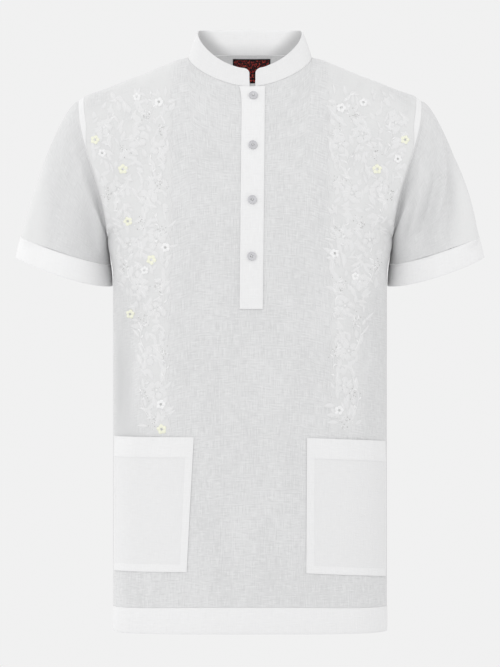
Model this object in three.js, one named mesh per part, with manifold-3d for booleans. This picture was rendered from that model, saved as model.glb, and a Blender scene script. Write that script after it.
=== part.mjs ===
// A short-sleeved fatua: a loose voile tunic with a band collar, a half-length button placket,
// two patch pockets at the hips and turned bands at the hem and cuffs. It keeps the hollow form
// it has when it is worn. Millimetres, +Z up, the wearer faces -Y and the wearer's left is +X.
// The origin lies between the shoulders, level with the neck ends of the shoulder seams.
import * as THREE from 'three';
import { mergeVertices } from 'three/addons/utils/BufferGeometryUtils.js';
import Module from 'manifold-3d';

const wasm = await Module();
wasm.setup();

// ---- Driving sizes -------------------------------------------------------------------------

const HEM_Z = -774;
const HEM_BAND_HEIGHT = 34;
const HEM_LIFT = { height: 4.8, fade: 80 };     // of the hem's middle, front and back
const ARMPIT_Z = -242;
const SHOULDER_TIP_Z = -56;
const SHOULDER_HALF_WIDTH = 232;
const ARMPIT_HALF_WIDTH = 194;
const HIP_HALF_WIDTH = 186;
const HIP_Z = -292;

const FRONT_DEPTH = 130;          // how far the chest stands in front of the side seams
const FRONT_FILL = 300;           // drop below the shoulder over which the front reaches it
const BACK_DEPTH = 118;
const BACK_FILL = 200;
const BODY_EXPONENT = 2.4;        // superellipse of the body's cross-section
const YOKE_EXPONENT = 2.5;        // flatter curve across the chest, between the armholes
const YOKE_FADE = { below: 45, above: 150 };   // heights round the armpit over which they blend
const ARMHOLE_EXPONENT = 9;       // how close to the armhole its depth is felt, at the armpit

const ARMHOLE_HALF_DEPTH = 58;
const ARMHOLE_LEAN = 1.1;         // over 1 the armhole's edge stays low for longer
const ARMHOLE_BLEND = 200;        // how fast the armhole's depth softens away from its seam

const NECK_HALF_WIDTH = 84;
const NECK_POINT_Z = 3;
const FRONT_NECK_Z = -42;
const FRONT_NECK_EXPONENT = 1.6;
const BACK_NECK_Z = 10.5;
const FRONT_CREST_RISE = 5;       // imaginary crest over the neck opening, front and back
const BACK_CREST_RISE = 27;

const PANEL_WALL = 1.2;
const BAND_WALL = 1.8;
const COLLAR_WALL = 2;
const PLACKET_WALL = 1.5;
const POCKET_WALL = 1.2;
const LABEL_WALL = 1;
const SEAM_GAP = 0.3;
const HALF_SEAM = 0.2;            // front and back panels each stand this far from the seam
const ARMHOLE_GAP = 0.45;

const COLLAR_RIM = { halfWidth: 72, front: 58, back: 48, frontZ: -16, sideRise: 56.5, backRise: 7 };
const COLLAR_RISE_ANGLE = 110;    // degrees from the front centre over which the rim climbs
const COLLAR_ENDS = { left: -0.8, right: 7.3 };
const COLLAR_CORNER = 8;
const COLLAR_ROWS = 4;
const COLLAR_SEAM_GAP = 0.5;      // measured upright, so that it is about a seam gap square to the cloth

const SLEEVE = { innerX: 191.5, innerZ: -277.5, outerX: 312.5, outerZ: -239, halfDepth: 59, bend: 1.12 };
const CUFF = { innerX: 191.5, innerZ: -307, outerX: 319.5, outerZ: -267.5, halfDepth: 60, bend: 1.35 };
const CUFF_SET_BACK = 15;         // the sleeve swings back by this much at its cuff
const CUFF_FRONT_DROP = 4.5;
const SLEEVE_CAP = { bulge: 30, rise: 0.4, fall: 0.95 };
const SLEEVE_ROWS = [0, 0.035, 0.1, 0.2, 0.33, 0.48, 0.65, 0.82, 1];

const PLACKET = { width: 31, topX: 4.6, bottomX: 1.6, bottomZ: -340 };
const PLACKET_SLIT = { width: 2, bottomZ: -326 };
const PLACKET_COLUMNS = 4;
const PLACKET_TOP_TRIM = 0.12;    // of a panel row, so that the placket stops short of the collar
const BUTTON = { radius: 5.85, thickness: 2.4, rim: 1.1, dish: 0.5, holeRadius: 0.75, holePitch: 1.35 };
const BUTTON_HEIGHTS = [-55.5, -122.7, -195.4, -270];

const POCKET_HEM = 27;
const POCKET_HEM_RAISE = 0.5;
const POCKETS = [
  { name: 'pocket_right', side: -1, topX: 74, bottomX: 83.5, topZ: -509, outerTopZ: -510,
    bottomZ: -687.5, outerBottomZ: -690.5 },
  { name: 'pocket_left', side: 1, topX: 75, bottomX: 74, topZ: -510, outerTopZ: -517,
    bottomZ: -689, outerBottomZ: -699 },
];
const POCKET_LAST_COLUMN = 9;     // panel columns past the neck column that a pocket spans
const POCKET_ROWS = 8;

const LABEL = { width: 52, topZ: 6.5, bottomZ: -25, columns: 6, rows: 4 };

const NECK_COLUMNS = 7;           // panel columns from the centre to the neck point
const SIDE_COLUMNS = 11;          // and from there to the side seam
const YOKE_ROWS = 14;             // panel rows beside the armhole
const BODY_ROWS = 9;              // and between the armpit and the hem band
const BODY_ROW_SPREAD = 1.7;      // closer below the armpit, where the front still fills out

// Height of the shoulder seam at each distance from the centre.
const SHOULDER_LINE = [
  { x: 84, z: 3 }, { x: 99, z: 0 }, { x: 147, z: -20 }, { x: 171, z: -29 },
  { x: 198, z: -40 }, { x: 222, z: -48 }, { x: 232, z: -56 },
];

// ---- Finishes ------------------------------------------------------------------------------

const VOILE = new THREE.MeshStandardMaterial({ color: 0xdedfe0, roughness: 0.9, side: THREE.DoubleSide });
const DOUBLE_VOILE = new THREE.MeshStandardMaterial({ color: 0xeeefef, roughness: 0.88 });
const PEARL = new THREE.MeshStandardMaterial({ color: 0xc4c5c8, roughness: 0.3 });
const SATIN = new THREE.MeshStandardMaterial({ color: 0x1c191b, roughness: 0.6 });

// ---- Small helpers -------------------------------------------------------------------------

const vec = (x, y, z) => new THREE.Vector3(x, y, z);
const radians = THREE.MathUtils.degToRad;
const clamp = THREE.MathUtils.clamp;
const mix = (a, b, t) => a + (b - a) * t;
const smooth = (low, high, value) => THREE.MathUtils.smoothstep(value, low, high);

// Straight interpolation in a table whose rows are ordered by x.
function heightAt(table, x) {
  const next = table.findIndex((row) => row.x >= x);
  if (next < 0) return table[table.length - 1].z;
  if (next === 0) return table[0].z;
  const from = table[next - 1];
  const to = table[next];
  return mix(from.z, to.z, (x - from.x) / (to.x - from.x));
}

// ---- The torso surface ---------------------------------------------------------------------
// A point of it is named by its side (-1 front, +1 back), its share r of the half width and
// the height e that its row has at the side seam or armhole.

const NECK_SHARE = NECK_HALF_WIDTH / SHOULDER_HALF_WIDTH;

function armholeAngle(e) {
  const share = clamp((e - ARMPIT_Z) / (SHOULDER_TIP_Z - ARMPIT_Z), 0, 1);
  return Math.acos(1 - 2 * share);
}

// The armhole's depth, averaged over a height that grows away from the seam and shrinks to
// nothing at the shoulder, where the two panels meet.
function armholeSwell(share, e) {
  const widest = Math.max(ARMHOLE_BLEND * (1 - share), 1e-6);
  const reach = widest * (1 - Math.exp(Math.min(0, e - SHOULDER_TIP_Z) / widest));
  let total = 0;
  let weights = 0;
  for (const offset of [-0.8, -0.4, 0, 0.4, 0.8]) {
    const weight = 1 - offset * offset;
    total += weight * Math.sin(armholeAngle(e + offset * reach));
    weights += weight;
  }
  return ARMHOLE_HALF_DEPTH * total / weights;
}

function halfWidth(e) {
  if (e <= HIP_Z) return HIP_HALF_WIDTH;
  if (e <= ARMPIT_Z) {
    return mix(HIP_HALF_WIDTH, ARMPIT_HALF_WIDTH, smooth(HIP_Z, ARMPIT_Z, e));
  }
  const rise = smooth(ARMPIT_Z, SHOULDER_TIP_Z, e) ** ARMHOLE_LEAN;
  return mix(ARMPIT_HALF_WIDTH, SHOULDER_HALF_WIDTH, rise);
}

function crest(side, r) {
  const share = Math.abs(r);
  if (share >= NECK_SHARE) return heightAt(SHOULDER_LINE, share * SHOULDER_HALF_WIDTH);
  const rise = side < 0 ? FRONT_CREST_RISE : BACK_CREST_RISE;
  return NECK_POINT_Z + rise * (1 - (share / NECK_SHARE) ** 2);
}

function fullness(side, drop) {
  const depth = side < 0 ? FRONT_DEPTH : BACK_DEPTH;
  const fill = side < 0 ? FRONT_FILL : BACK_FILL;
  const short = 1 - clamp(drop, 0, fill) / fill;
  return depth * Math.sqrt(1 - short * short);
}

const roundOf = (share) => Math.max(0, 1 - share ** BODY_EXPONENT) ** (1 / BODY_EXPONENT);

const hemLift = (r, e) => HEM_LIFT.height * roundOf(Math.abs(r)) ** 2 * Math.exp((HEM_Z - e) / HEM_LIFT.fade);

function torsoPoint(side, r, e) {
  const top = crest(side, r);
  const z = HEM_Z + (top - HEM_Z) * (e - HEM_Z) / (SHOULDER_TIP_Z - HEM_Z);
  const share = Math.abs(r);
  const round = roundOf(share);
  const yoke = 1 - share ** YOKE_EXPONENT;
  const fade = smooth(ARMPIT_Z - YOKE_FADE.below, ARMPIT_Z + YOKE_FADE.above, e);
  const across = mix(round, yoke, fade);
  const edge = armholeSwell(share, e);
  const y = fullness(side, top - z) * across + edge * share ** mix(ARMHOLE_EXPONENT, YOKE_EXPONENT, fade);
  return vec(halfWidth(e) * r, side * (y + HALF_SEAM), z + hemLift(r, e));
}

// Height of the neckline at a distance x from the centre.
function necklineHeight(side, x) {
  const share = clamp(Math.abs(x) / NECK_HALF_WIDTH, 0, 1);
  if (side > 0) return mix(BACK_NECK_Z, NECK_POINT_Z, share ** 3);
  const fall = (1 - share ** FRONT_NECK_EXPONENT) ** (1 / FRONT_NECK_EXPONENT);
  return mix(NECK_POINT_Z, FRONT_NECK_Z, fall);
}

// The row height at which a column meets the shoulder seam or the neckline.
function topRow(side, r) {
  if (Math.abs(r) >= NECK_SHARE - 1e-9) return SHOULDER_TIP_Z;
  let e = SHOULDER_TIP_Z;
  for (let pass = 0; pass < 12; pass += 1) {
    const z = necklineHeight(side, halfWidth(e) * r);
    e = HEM_Z + (z - HEM_Z) * (SHOULDER_TIP_Z - HEM_Z) / (crest(side, r) - HEM_Z);
  }
  return e;
}

// Columns of a panel: evenly turned round the neck, then evenly turned round the superellipse,
// with one exactly at each neck point.
function panelShares() {
  const neckTurn = Math.asin(NECK_SHARE ** (BODY_EXPONENT / 2));
  const shares = [];
  for (let i = 1; i <= NECK_COLUMNS; i += 1) {
    shares.push(NECK_SHARE * Math.sin(Math.PI / 2 * i / NECK_COLUMNS));
  }
  for (let i = 1; i <= SIDE_COLUMNS; i += 1) {
    shares.push(Math.sin(mix(neckTurn, Math.PI / 2, i / SIDE_COLUMNS)) ** (2 / BODY_EXPONENT));
  }
  return [...shares.map((share) => -share).reverse(), 0, ...shares];
}

const SHARES = panelShares();
const CENTRE_COLUMN = NECK_COLUMNS + SIDE_COLUMNS;
const BAND_TOP_Z = HEM_Z + HEM_BAND_HEIGHT;

// Rows of a panel between the hem band and its top edge, as a rule from column share to height.
function panelRows(side) {
  const rows = [];
  for (let i = 0; i <= BODY_ROWS; i += 1) {
    const e = mix(ARMPIT_Z, BAND_TOP_Z + SEAM_GAP, (1 - i / BODY_ROWS) ** BODY_ROW_SPREAD);
    rows.push(() => e);
  }
  for (let i = 1; i <= YOKE_ROWS; i += 1) {
    const rise = (1 - Math.cos(Math.PI * i / YOKE_ROWS)) / 2;
    rows.push((r) => mix(ARMPIT_Z, topRow(side, r), rise));
  }
  return rows;
}

// ---- Walls ---------------------------------------------------------------------------------

// Outward normals of a grid of points, each the cross product of its two directions.
function gridNormals(points, wrap, sign) {
  const rows = points.length;
  const columns = points[0].length;
  const at = (row, column) => {
    const j = wrap ? (column + columns) % columns : clamp(column, 0, columns - 1);
    return points[clamp(row, 0, rows - 1)][j];
  };
  return points.map((line, i) => line.map((_, j) => {
    const along = at(i, j + 1).clone().sub(at(i, j - 1));
    const up = at(i + 1, j).clone().sub(at(i - 1, j));
    return along.cross(up).normalize().multiplyScalar(sign);
  }));
}

// A closed solid between two matching grids of points. A wrapped wall is a tube.
function solidBetween(outer, inner, wrap = false) {
  const rows = outer.length;
  const columns = outer[0].length;
  const spans = wrap ? columns : columns - 1;
  const positions = [...outer.flat(), ...inner.flat()].flatMap((point) => point.toArray());
  const shift = rows * columns;
  const index = [];
  const quad = (a, b, c, d) => index.push(a, b, c, a, c, d);
  const id = (i, j) => i * columns + (j % columns);
  for (let i = 0; i < rows - 1; i += 1) {
    for (let j = 0; j < spans; j += 1) {
      const [a, b, c, d] = [id(i, j), id(i, j + 1), id(i + 1, j + 1), id(i + 1, j)];
      quad(a, b, c, d);
      quad(shift + d, shift + c, shift + b, shift + a);
    }
  }
  for (let j = 0; j < spans; j += 1) {
    quad(shift + id(0, j), shift + id(0, j + 1), id(0, j + 1), id(0, j));
    const last = rows - 1;
    quad(id(last, j), id(last, j + 1), shift + id(last, j + 1), shift + id(last, j));
  }
  if (!wrap) {
    for (let i = 0; i < rows - 1; i += 1) {
      quad(id(i, 0), id(i + 1, 0), shift + id(i + 1, 0), shift + id(i, 0));
      const end = columns - 1;
      quad(shift + id(i, end), shift + id(i + 1, end), id(i + 1, end), id(i, end));
    }
  }
  const geometry = new THREE.BufferGeometry();
  geometry.setAttribute('position', new THREE.Float32BufferAttribute(positions, 3));
  geometry.setIndex(index);
  return facingOut(geometry);
}

// Turns a closed geometry's faces round where they enclose a negative volume.
function facingOut(geometry) {
  const position = geometry.getAttribute('position');
  const index = geometry.getIndex().array;
  let volume = 0;
  for (let i = 0; i < index.length; i += 3) {
    const [a, b, c] = [0, 1, 2].map((k) => vec(0, 0, 0).fromBufferAttribute(position, index[i + k]));
    volume += a.dot(b.cross(c));
  }
  if (volume < 0) {
    for (let i = 0; i < index.length; i += 3) [index[i + 1], index[i + 2]] = [index[i + 2], index[i + 1]];
  }
  geometry.computeVertexNormals();
  return geometry;
}

// The grid moved along its normals.
function movedOut(points, normals, distance) {
  return points.map((line, i) => line.map((point, j) => point.clone().addScaledVector(normals[i][j], distance)));
}

const wallOf = (grid, thickness, wrap = false) => solidBetween(
  grid.points, movedOut(grid.points, grid.normals, -thickness), wrap);

// ---- Front and back panels -----------------------------------------------------------------

// Points and normals of a panel. At the side and shoulder seams a normal has no part along Y,
// so the two panels' edges stay parallel.
function panelGrid(side) {
  const points = panelRows(side).map((row) => SHARES.map((r) => torsoPoint(side, r, row(r))));
  const normals = gridNormals(points, false, side < 0 ? 1 : -1);
  const lastRow = points.length - 1;
  normals.forEach((line, i) => line.forEach((normal, j) => {
    const sideSeam = i <= BODY_ROWS && (j === 0 || j === line.length - 1);
    const shoulder = i === lastRow && Math.abs(SHARES[j]) >= NECK_SHARE - 1e-9;
    if (sideSeam || shoulder) normal.setY(0).normalize();
  }));
  return { points, normals };
}

const FRONT = panelGrid(-1);
const BACK = panelGrid(1);

// A panel's surface between its grid lines: column and row may be fractions.
function onPanel(panel, column, row) {
  const j = clamp(Math.floor(column), 0, SHARES.length - 2);
  const i = clamp(Math.floor(row), 0, panel.points.length - 2);
  const [u, v] = [column - j, row - i];
  const blend = (grid) => {
    const low = grid[i][j].clone().lerp(grid[i][j + 1], u);
    return low.lerp(grid[i + 1][j].clone().lerp(grid[i + 1][j + 1], u), v);
  };
  return { point: blend(panel.points), normal: blend(panel.normals).normalize() };
}

// The column, as a fraction, at which a row of the panel has the given x.
function columnAt(panel, row, x) {
  let [low, high] = [0, SHARES.length - 1];
  for (let pass = 0; pass < 40; pass += 1) {
    const middle = (low + high) / 2;
    if (onPanel(panel, middle, row).point.x < x) low = middle;
    else high = middle;
  }
  return (low + high) / 2;
}

// The row, as a fraction, at which the panel has the given height at x.
function rowAt(panel, x, z) {
  let [low, high] = [0, panel.points.length - 1];
  for (let pass = 0; pass < 40; pass += 1) {
    const middle = (low + high) / 2;
    if (onPanel(panel, columnAt(panel, middle, x), middle).point.z < z) low = middle;
    else high = middle;
  }
  return (low + high) / 2;
}

// A piece that lies on a panel: a grid of panel places, moved out from near to far.
function pieceOn(panel, places, near, far) {
  const spots = places.map((line) => line.map(([column, row]) => onPanel(panel, column, row)));
  const at = (distance) => spots.map((line) => line.map(
    ({ point, normal }, j) => point.clone().addScaledVector(normal, distance(j))));
  return solidBetween(at(far), at(near));
}

const constant = (value) => () => value;

// Boolean cut of one closed geometry by others.
function solidFrom(geometry) {
  const bare = geometry.clone();
  bare.deleteAttribute('normal');
  bare.deleteAttribute('uv');
  const merged = mergeVertices(bare);
  return new wasm.Manifold(new wasm.Mesh({
    numProp: 3,
    vertProperties: new Float32Array(merged.getAttribute('position').array),
    triVerts: new Uint32Array(merged.getIndex().array),
  }));
}

function cut(geometry, tools) {
  let solid = solidFrom(geometry);
  for (const tool of tools) solid = solid.subtract(solidFrom(tool));
  const mesh = solid.getMesh();
  const result = new THREE.BufferGeometry();
  result.setAttribute('position', new THREE.Float32BufferAttribute(mesh.vertProperties, 3));
  result.setIndex(Array.from(mesh.triVerts));
  result.computeVertexNormals();
  return result;
}

const placketMiddle = (z) => mix(PLACKET.topX, PLACKET.bottomX, clamp(
  (FRONT_NECK_Z - z) / (FRONT_NECK_Z - PLACKET.bottomZ), 0, 1));

function frontPanel() {
  const height = FRONT_NECK_Z - PLACKET_SLIT.bottomZ + 40;
  const slit = new THREE.BoxGeometry(PLACKET_SLIT.width, FRONT_DEPTH, height);
  slit.translate((PLACKET.topX + PLACKET.bottomX) / 2, -FRONT_DEPTH * 0.75, PLACKET_SLIT.bottomZ + height / 2);
  return cut(wallOf(FRONT, PANEL_WALL), [slit]);
}

// ---- Placket, buttons, pockets and label ---------------------------------------------------

function placketPlaces(bottomZ) {
  const bottomRow = rowAt(FRONT, placketMiddle(bottomZ), bottomZ);
  const topmost = FRONT.points.length - 1;
  const rows = [bottomRow];
  for (let row = Math.floor(bottomRow) + 1; row < topmost; row += 1) rows.push(row);
  rows.push(topmost - PLACKET_TOP_TRIM);
  return rows.map((row) => {
    const z = onPanel(FRONT, CENTRE_COLUMN, row).point.z;
    const left = placketMiddle(z) - PLACKET.width / 2;
    const line = [];
    for (let j = 0; j <= PLACKET_COLUMNS; j += 1) {
      line.push([columnAt(FRONT, row, left + PLACKET.width * j / PLACKET_COLUMNS), row]);
    }
    return line;
  });
}

function placket() {
  return pieceOn(FRONT, placketPlaces(PLACKET.bottomZ), constant(SEAM_GAP), constant(SEAM_GAP + PLACKET_WALL));
}

function underPlacket() {
  const near = -(PANEL_WALL + SEAM_GAP);
  return pieceOn(FRONT, placketPlaces(PLACKET_SLIT.bottomZ - 8), constant(near - PANEL_WALL), constant(near));
}

// A four-hole button: a turned disc with a raised rim round a shallow dish.
function buttonGeometry() {
  const { radius, thickness, rim, dish, holeRadius, holePitch } = BUTTON;
  const profile = [
    [0, 0], [radius - 0.8, 0], [radius, 0.7], [radius, thickness - 0.6], [radius - 0.4, thickness],
    [radius - rim, thickness], [radius - rim - 0.6, thickness - dish], [0, thickness - dish],
  ].map(([x, y]) => new THREE.Vector2(x, y));
  const disc = new THREE.LatheGeometry(profile, 24);
  const holes = [45, 135, 225, 315].map((degrees) => {
    const hole = new THREE.CylinderGeometry(holeRadius, holeRadius, 3 * thickness, 8);
    const turn = radians(degrees);
    hole.translate(holePitch * Math.cos(turn), 0, holePitch * Math.sin(turn));
    return hole;
  });
  const merged = facingOut(mergeVertices(disc.deleteAttribute('normal').deleteAttribute('uv')));
  return cut(merged, holes);
}

function buttonMesh(number, z) {
  const x = placketMiddle(z);
  const row = rowAt(FRONT, x, z);
  const { point, normal } = onPanel(FRONT, columnAt(FRONT, row, x), row);
  const mesh = new THREE.Mesh(buttonGeometry(), PEARL);
  mesh.name = `button_${number}`;
  mesh.position.copy(point.addScaledVector(normal, PLACKET_WALL + 2 * SEAM_GAP));
  mesh.quaternion.setFromUnitVectors(vec(0, 1, 0), normal);
  return mesh;
}

// A patch pocket. Its columns are the panel's own, apart from its inner edge, and below the
// hips the panel is upright, so each of its facets carries a facet of the pocket.
function pocketGeometry(pocket) {
  const { side, topX, bottomX, topZ, outerTopZ, bottomZ, outerBottomZ } = pocket;
  const firstColumn = CENTRE_COLUMN + side * (NECK_COLUMNS + 1);
  const lastColumn = CENTRE_COLUMN + side * (NECK_COLUMNS + POCKET_LAST_COLUMN);
  const columns = Math.abs(lastColumn - firstColumn) + 1;
  const hemShare = POCKET_HEM / (topZ - bottomZ);
  const heights = [];
  for (let i = 0; i <= POCKET_ROWS; i += 1) heights.push((1 - hemShare) * i / POCKET_ROWS);
  heights.push(1 - hemShare + 0.004, 1);
  const spots = heights.map((up) => {
    const line = [];
    for (let j = 0; j <= columns; j += 1) {
      const across = j / columns;
      const z = mix(mix(bottomZ, outerBottomZ, across), mix(topZ, outerTopZ, across), up);
      const innerX = side * mix(bottomX, topX, up);
      const row = rowAt(FRONT, side * (bottomX + topX) / 2, z);
      const column = j === 0 ? columnAt(FRONT, row, innerX) : firstColumn + side * (j - 1);
      const spot = onPanel(FRONT, column, row);
      spot.point.z = z;
      line.push(spot);
    }
    return line;
  });
  const mitred = spots.map((line) => line.map((spot, j) => {
    const before = facing(line, j - 1);
    const after = facing(line, j);
    const normal = before.clone().add(after).normalize();
    return { point: spot.point, normal, stretch: 1 / normal.dot(after) };
  }));
  const lifted = (distance) => mitred.map((line, i) => line.map(({ point, normal, stretch }) => (
    point.clone().addScaledVector(normal, distance(i) * stretch))));
  const outer = lifted((i) => SEAM_GAP + POCKET_WALL + (i > POCKET_ROWS ? POCKET_HEM_RAISE : 0));
  return solidBetween(outer, lifted(constant(SEAM_GAP)));
}

// Which way the facet after place j of an upright line of panel places faces.
function facing(line, j) {
  const from = clamp(j, 0, line.length - 2);
  const run = line[from + 1].point.clone().sub(line[from].point);
  const normal = vec(run.y, -run.x, 0).normalize();
  return normal.y > 0 ? normal.negate() : normal;
}

function labelGeometry() {
  const { width, topZ, bottomZ, columns, rows } = LABEL;
  const places = [];
  for (let i = 0; i <= rows; i += 1) {
    const row = rowAt(BACK, 0, mix(bottomZ, topZ, i / rows));
    const line = [];
    for (let j = 0; j <= columns; j += 1) {
      line.push([columnAt(BACK, row, width * (j / columns - 0.5)), row]);
    }
    places.push(line);
  }
  const near = -(PANEL_WALL + SEAM_GAP);
  return pieceOn(BACK, places, constant(near - LABEL_WALL), constant(near));
}

// ---- Collar --------------------------------------------------------------------------------

// The neckline seam as one round of points from the wearer's left front end, past the back, to
// the right one. Each has its angle from the front centre, and points near an end stand close
// enough to round the collar's corner.
function seamRound() {
  const topOf = (panel) => panel.points[panel.points.length - 1];
  const neck = SHARES.map((share, j) => ({ share, j })).filter(({ share }) => Math.abs(share) < NECK_SHARE + 1e-9);
  const turn = (share) => Math.asin(Math.min(1, Math.abs(share) / NECK_SHARE));
  const corner = [0, 0.08, 0.29, 0.62, 1].map((part) => part * COLLAR_CORNER);
  const endPoints = (endX, direction) => corner.map((distance) => {
    const x = endX + direction * distance;
    const row = FRONT.points.length - 1;
    const { point } = onPanel(FRONT, columnAt(FRONT, row, x), row);
    return { point, angle: Math.asin(Math.abs(x) / NECK_HALF_WIDTH), distance, sign: direction };
  });
  const front = neck.map(({ share, j }) => ({
    point: topOf(FRONT)[j].clone(), angle: turn(share), distance: Infinity, sign: Math.sign(share),
  }));
  const back = neck.filter(({ share }) => Math.abs(share) < NECK_SHARE - 1e-9).map(({ share, j }) => ({
    point: topOf(BACK)[j].clone(), angle: Math.PI - turn(share), distance: Infinity, sign: Math.sign(share),
  }));
  const leftFront = front.filter(({ point }) => point.x > COLLAR_ENDS.right + COLLAR_CORNER + 1);
  const rightFront = front.filter(({ point }) => point.x < COLLAR_ENDS.left - COLLAR_CORNER - 1);
  return [
    ...endPoints(COLLAR_ENDS.right, 1), ...leftFront, ...back.reverse(), ...rightFront,
    ...endPoints(COLLAR_ENDS.left, -1).reverse(),
  ];
}

function collarRim({ point, angle, sign, distance }) {
  const { halfWidth: half, front, back, frontZ, sideRise, backRise } = COLLAR_RIM;
  const climb = Math.sin(Math.min(angle, radians(COLLAR_RISE_ANGLE)) * 90 / COLLAR_RISE_ANGLE) ** 2;
  const crown = backRise * Math.max(0, angle / radians(COLLAR_RISE_ANGLE) - 1);
  const depth = angle < Math.PI / 2 ? front : back;
  const x = distance < Infinity ? point.x : sign * half * Math.sin(angle);
  return vec(x, -depth * Math.cos(angle), frontZ + sideRise * climb + crown);
}

// Share of the full height that the rounded corner leaves at a distance from the collar's end.
function cornerShare(distance, height) {
  if (distance >= COLLAR_CORNER) return 1;
  const short = COLLAR_CORNER - distance;
  return 1 - (COLLAR_CORNER - Math.sqrt(COLLAR_CORNER ** 2 - short ** 2)) / height;
}

function collarGeometry() {
  const seam = seamRound();
  const points = [];
  for (let i = 0; i <= COLLAR_ROWS; i += 1) {
    points.push(seam.map((place) => {
      const foot = place.point.clone().add(vec(0, 0, COLLAR_SEAM_GAP));
      const rim = collarRim(place);
      const share = cornerShare(place.distance, foot.distanceTo(rim));
      return foot.lerp(rim, share * i / COLLAR_ROWS);
    }));
  }
  const normals = gridNormals(points, false, 1);
  return wallOf({ points, normals }, COLLAR_WALL);
}

// ---- Sleeves and bands ---------------------------------------------------------------------

// The round of armhole angles: up the front from the armpit to the shoulder, down the back.
function armholeRound() {
  const round = [];
  for (let i = 0; i < 2 * YOKE_ROWS; i += 1) {
    const front = i <= YOKE_ROWS;
    const row = front ? i : 2 * YOKE_ROWS - i;
    round.push({ row, angle: Math.PI * row / YOKE_ROWS, side: front ? -1 : 1 });
  }
  return round;
}

function armholeSeam(sign, { row, side, angle }) {
  const panel = side < 0 ? FRONT : BACK;
  const column = sign < 0 ? 0 : SHARES.length - 1;
  const point = panel.points[BODY_ROWS + row][column].clone();
  if (row === 0 || row === YOKE_ROWS) point.setY(0);
  point.x += sign * ARMHOLE_GAP;
  return { point, normal: panel.normals[BODY_ROWS + row][column], cap: smooth(radians(100), radians(165), angle) };
}

// A point of a ring that lies aslant between an inner and an outer end.
function ringPoint(sign, ring, { angle, side }) {
  const out = (1 - Math.cos(angle)) / 2;
  const swing = side * Math.sin(angle);
  return vec(
    sign * mix(ring.innerX, ring.outerX, out),
    CUFF_SET_BACK + swing * ring.halfDepth,
    mix(ring.innerZ, ring.outerZ, out ** ring.bend) + swing * CUFF_FRONT_DROP,
  );
}

function sleeveGeometry(sign) {
  const round = armholeRound();
  const seam = round.map((place) => armholeSeam(sign, place));
  const { bulge, rise, fall } = SLEEVE_CAP;
  const points = SLEEVE_ROWS.map((t) => round.map((place, j) => {
    const point = seam[j].point.clone().lerp(ringPoint(sign, SLEEVE, place), t);
    const capped = bulge * t ** rise * (1 - t) ** fall * ((1 - Math.cos(place.angle)) / 2);
    point.x += sign * capped;
    return point;
  }));
  const normals = gridNormals(points, true, -sign);
  normals[0] = normals[0].map((normal, j) => normal.lerp(seam[j].normal, seam[j].cap).normalize());
  return wallOf({ points, normals }, PANEL_WALL, true);
}

function sleeveBandGeometry(sign) {
  const round = armholeRound();
  const points = [0, 0.5, 1].map((t) => round.map((place) => {
    const top = ringPoint(sign, SLEEVE, place);
    const bottom = ringPoint(sign, CUFF, place);
    const start = 2 * SEAM_GAP / top.distanceTo(bottom);
    return top.lerp(bottom, mix(start, 1, t));
  }));
  return wallOf({ points, normals: gridNormals(points, true, -sign) }, BAND_WALL, true);
}

function hemBandGeometry(side) {
  const points = [HEM_Z, (HEM_Z + BAND_TOP_Z) / 2, BAND_TOP_Z].map((e) => SHARES.map((r) => {
    const point = torsoPoint(side, r, ARMPIT_Z - 200);
    return point.setZ(e);
  }));
  const panel = side < 0 ? FRONT : BACK;
  points[2].forEach((point, j) => point.setZ(panel.points[0][j].z - SEAM_GAP));
  points[0].forEach((point, j) => point.setZ(HEM_Z + hemLift(SHARES[j], HEM_Z)));
  points[1].forEach((point, j) => point.setZ((points[0][j].z + points[2][j].z) / 2));
  const normals = gridNormals(points, false, side < 0 ? 1 : -1);
  normals.forEach((line) => [line[0], line[line.length - 1]].forEach((normal) => normal.setY(0).normalize()));
  return wallOf({ points, normals }, BAND_WALL);
}

// ---- Assembly ------------------------------------------------------------------------------

const fatua = new THREE.Group();

function add(name, geometry, material) {
  const mesh = new THREE.Mesh(geometry, material);
  mesh.name = name;
  fatua.add(mesh);
}

add('front', frontPanel(), VOILE);
add('back', wallOf(BACK, PANEL_WALL), VOILE);
for (const { name, sign } of [{ name: 'right', sign: -1 }, { name: 'left', sign: 1 }]) {
  add(`sleeve_${name}`, sleeveGeometry(sign), VOILE);
  add(`sleeve_band_${name}`, sleeveBandGeometry(sign), DOUBLE_VOILE);
}
add('hem_band_front', hemBandGeometry(-1), DOUBLE_VOILE);
add('hem_band_back', hemBandGeometry(1), DOUBLE_VOILE);
add('collar', collarGeometry(), DOUBLE_VOILE);
add('placket', placket(), DOUBLE_VOILE);
add('placket_under', underPlacket(), DOUBLE_VOILE);
BUTTON_HEIGHTS.forEach((z, i) => fatua.add(buttonMesh(i + 1, z)));
for (const pocket of POCKETS) add(pocket.name, pocketGeometry(pocket), DOUBLE_VOILE);
add('label', labelGeometry(), SATIN);

export default fatua;
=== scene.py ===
"""The looks of a short-sleeved voile fatua, worn and hollow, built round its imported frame.

Sizes are in millimetres in the garment's own frame: +Z up, the wearer faces -Y and the wearer's
left is +X. They become metres where a mesh is made.
"""
from __future__ import annotations

import logging
import math
import random
from dataclasses import dataclass, field
from enum import Enum, IntEnum
from typing import Sequence

import bmesh
import bpy
import numpy as np
from mathutils import Matrix, Vector
from mathutils.bvhtree import BVHTree

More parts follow.
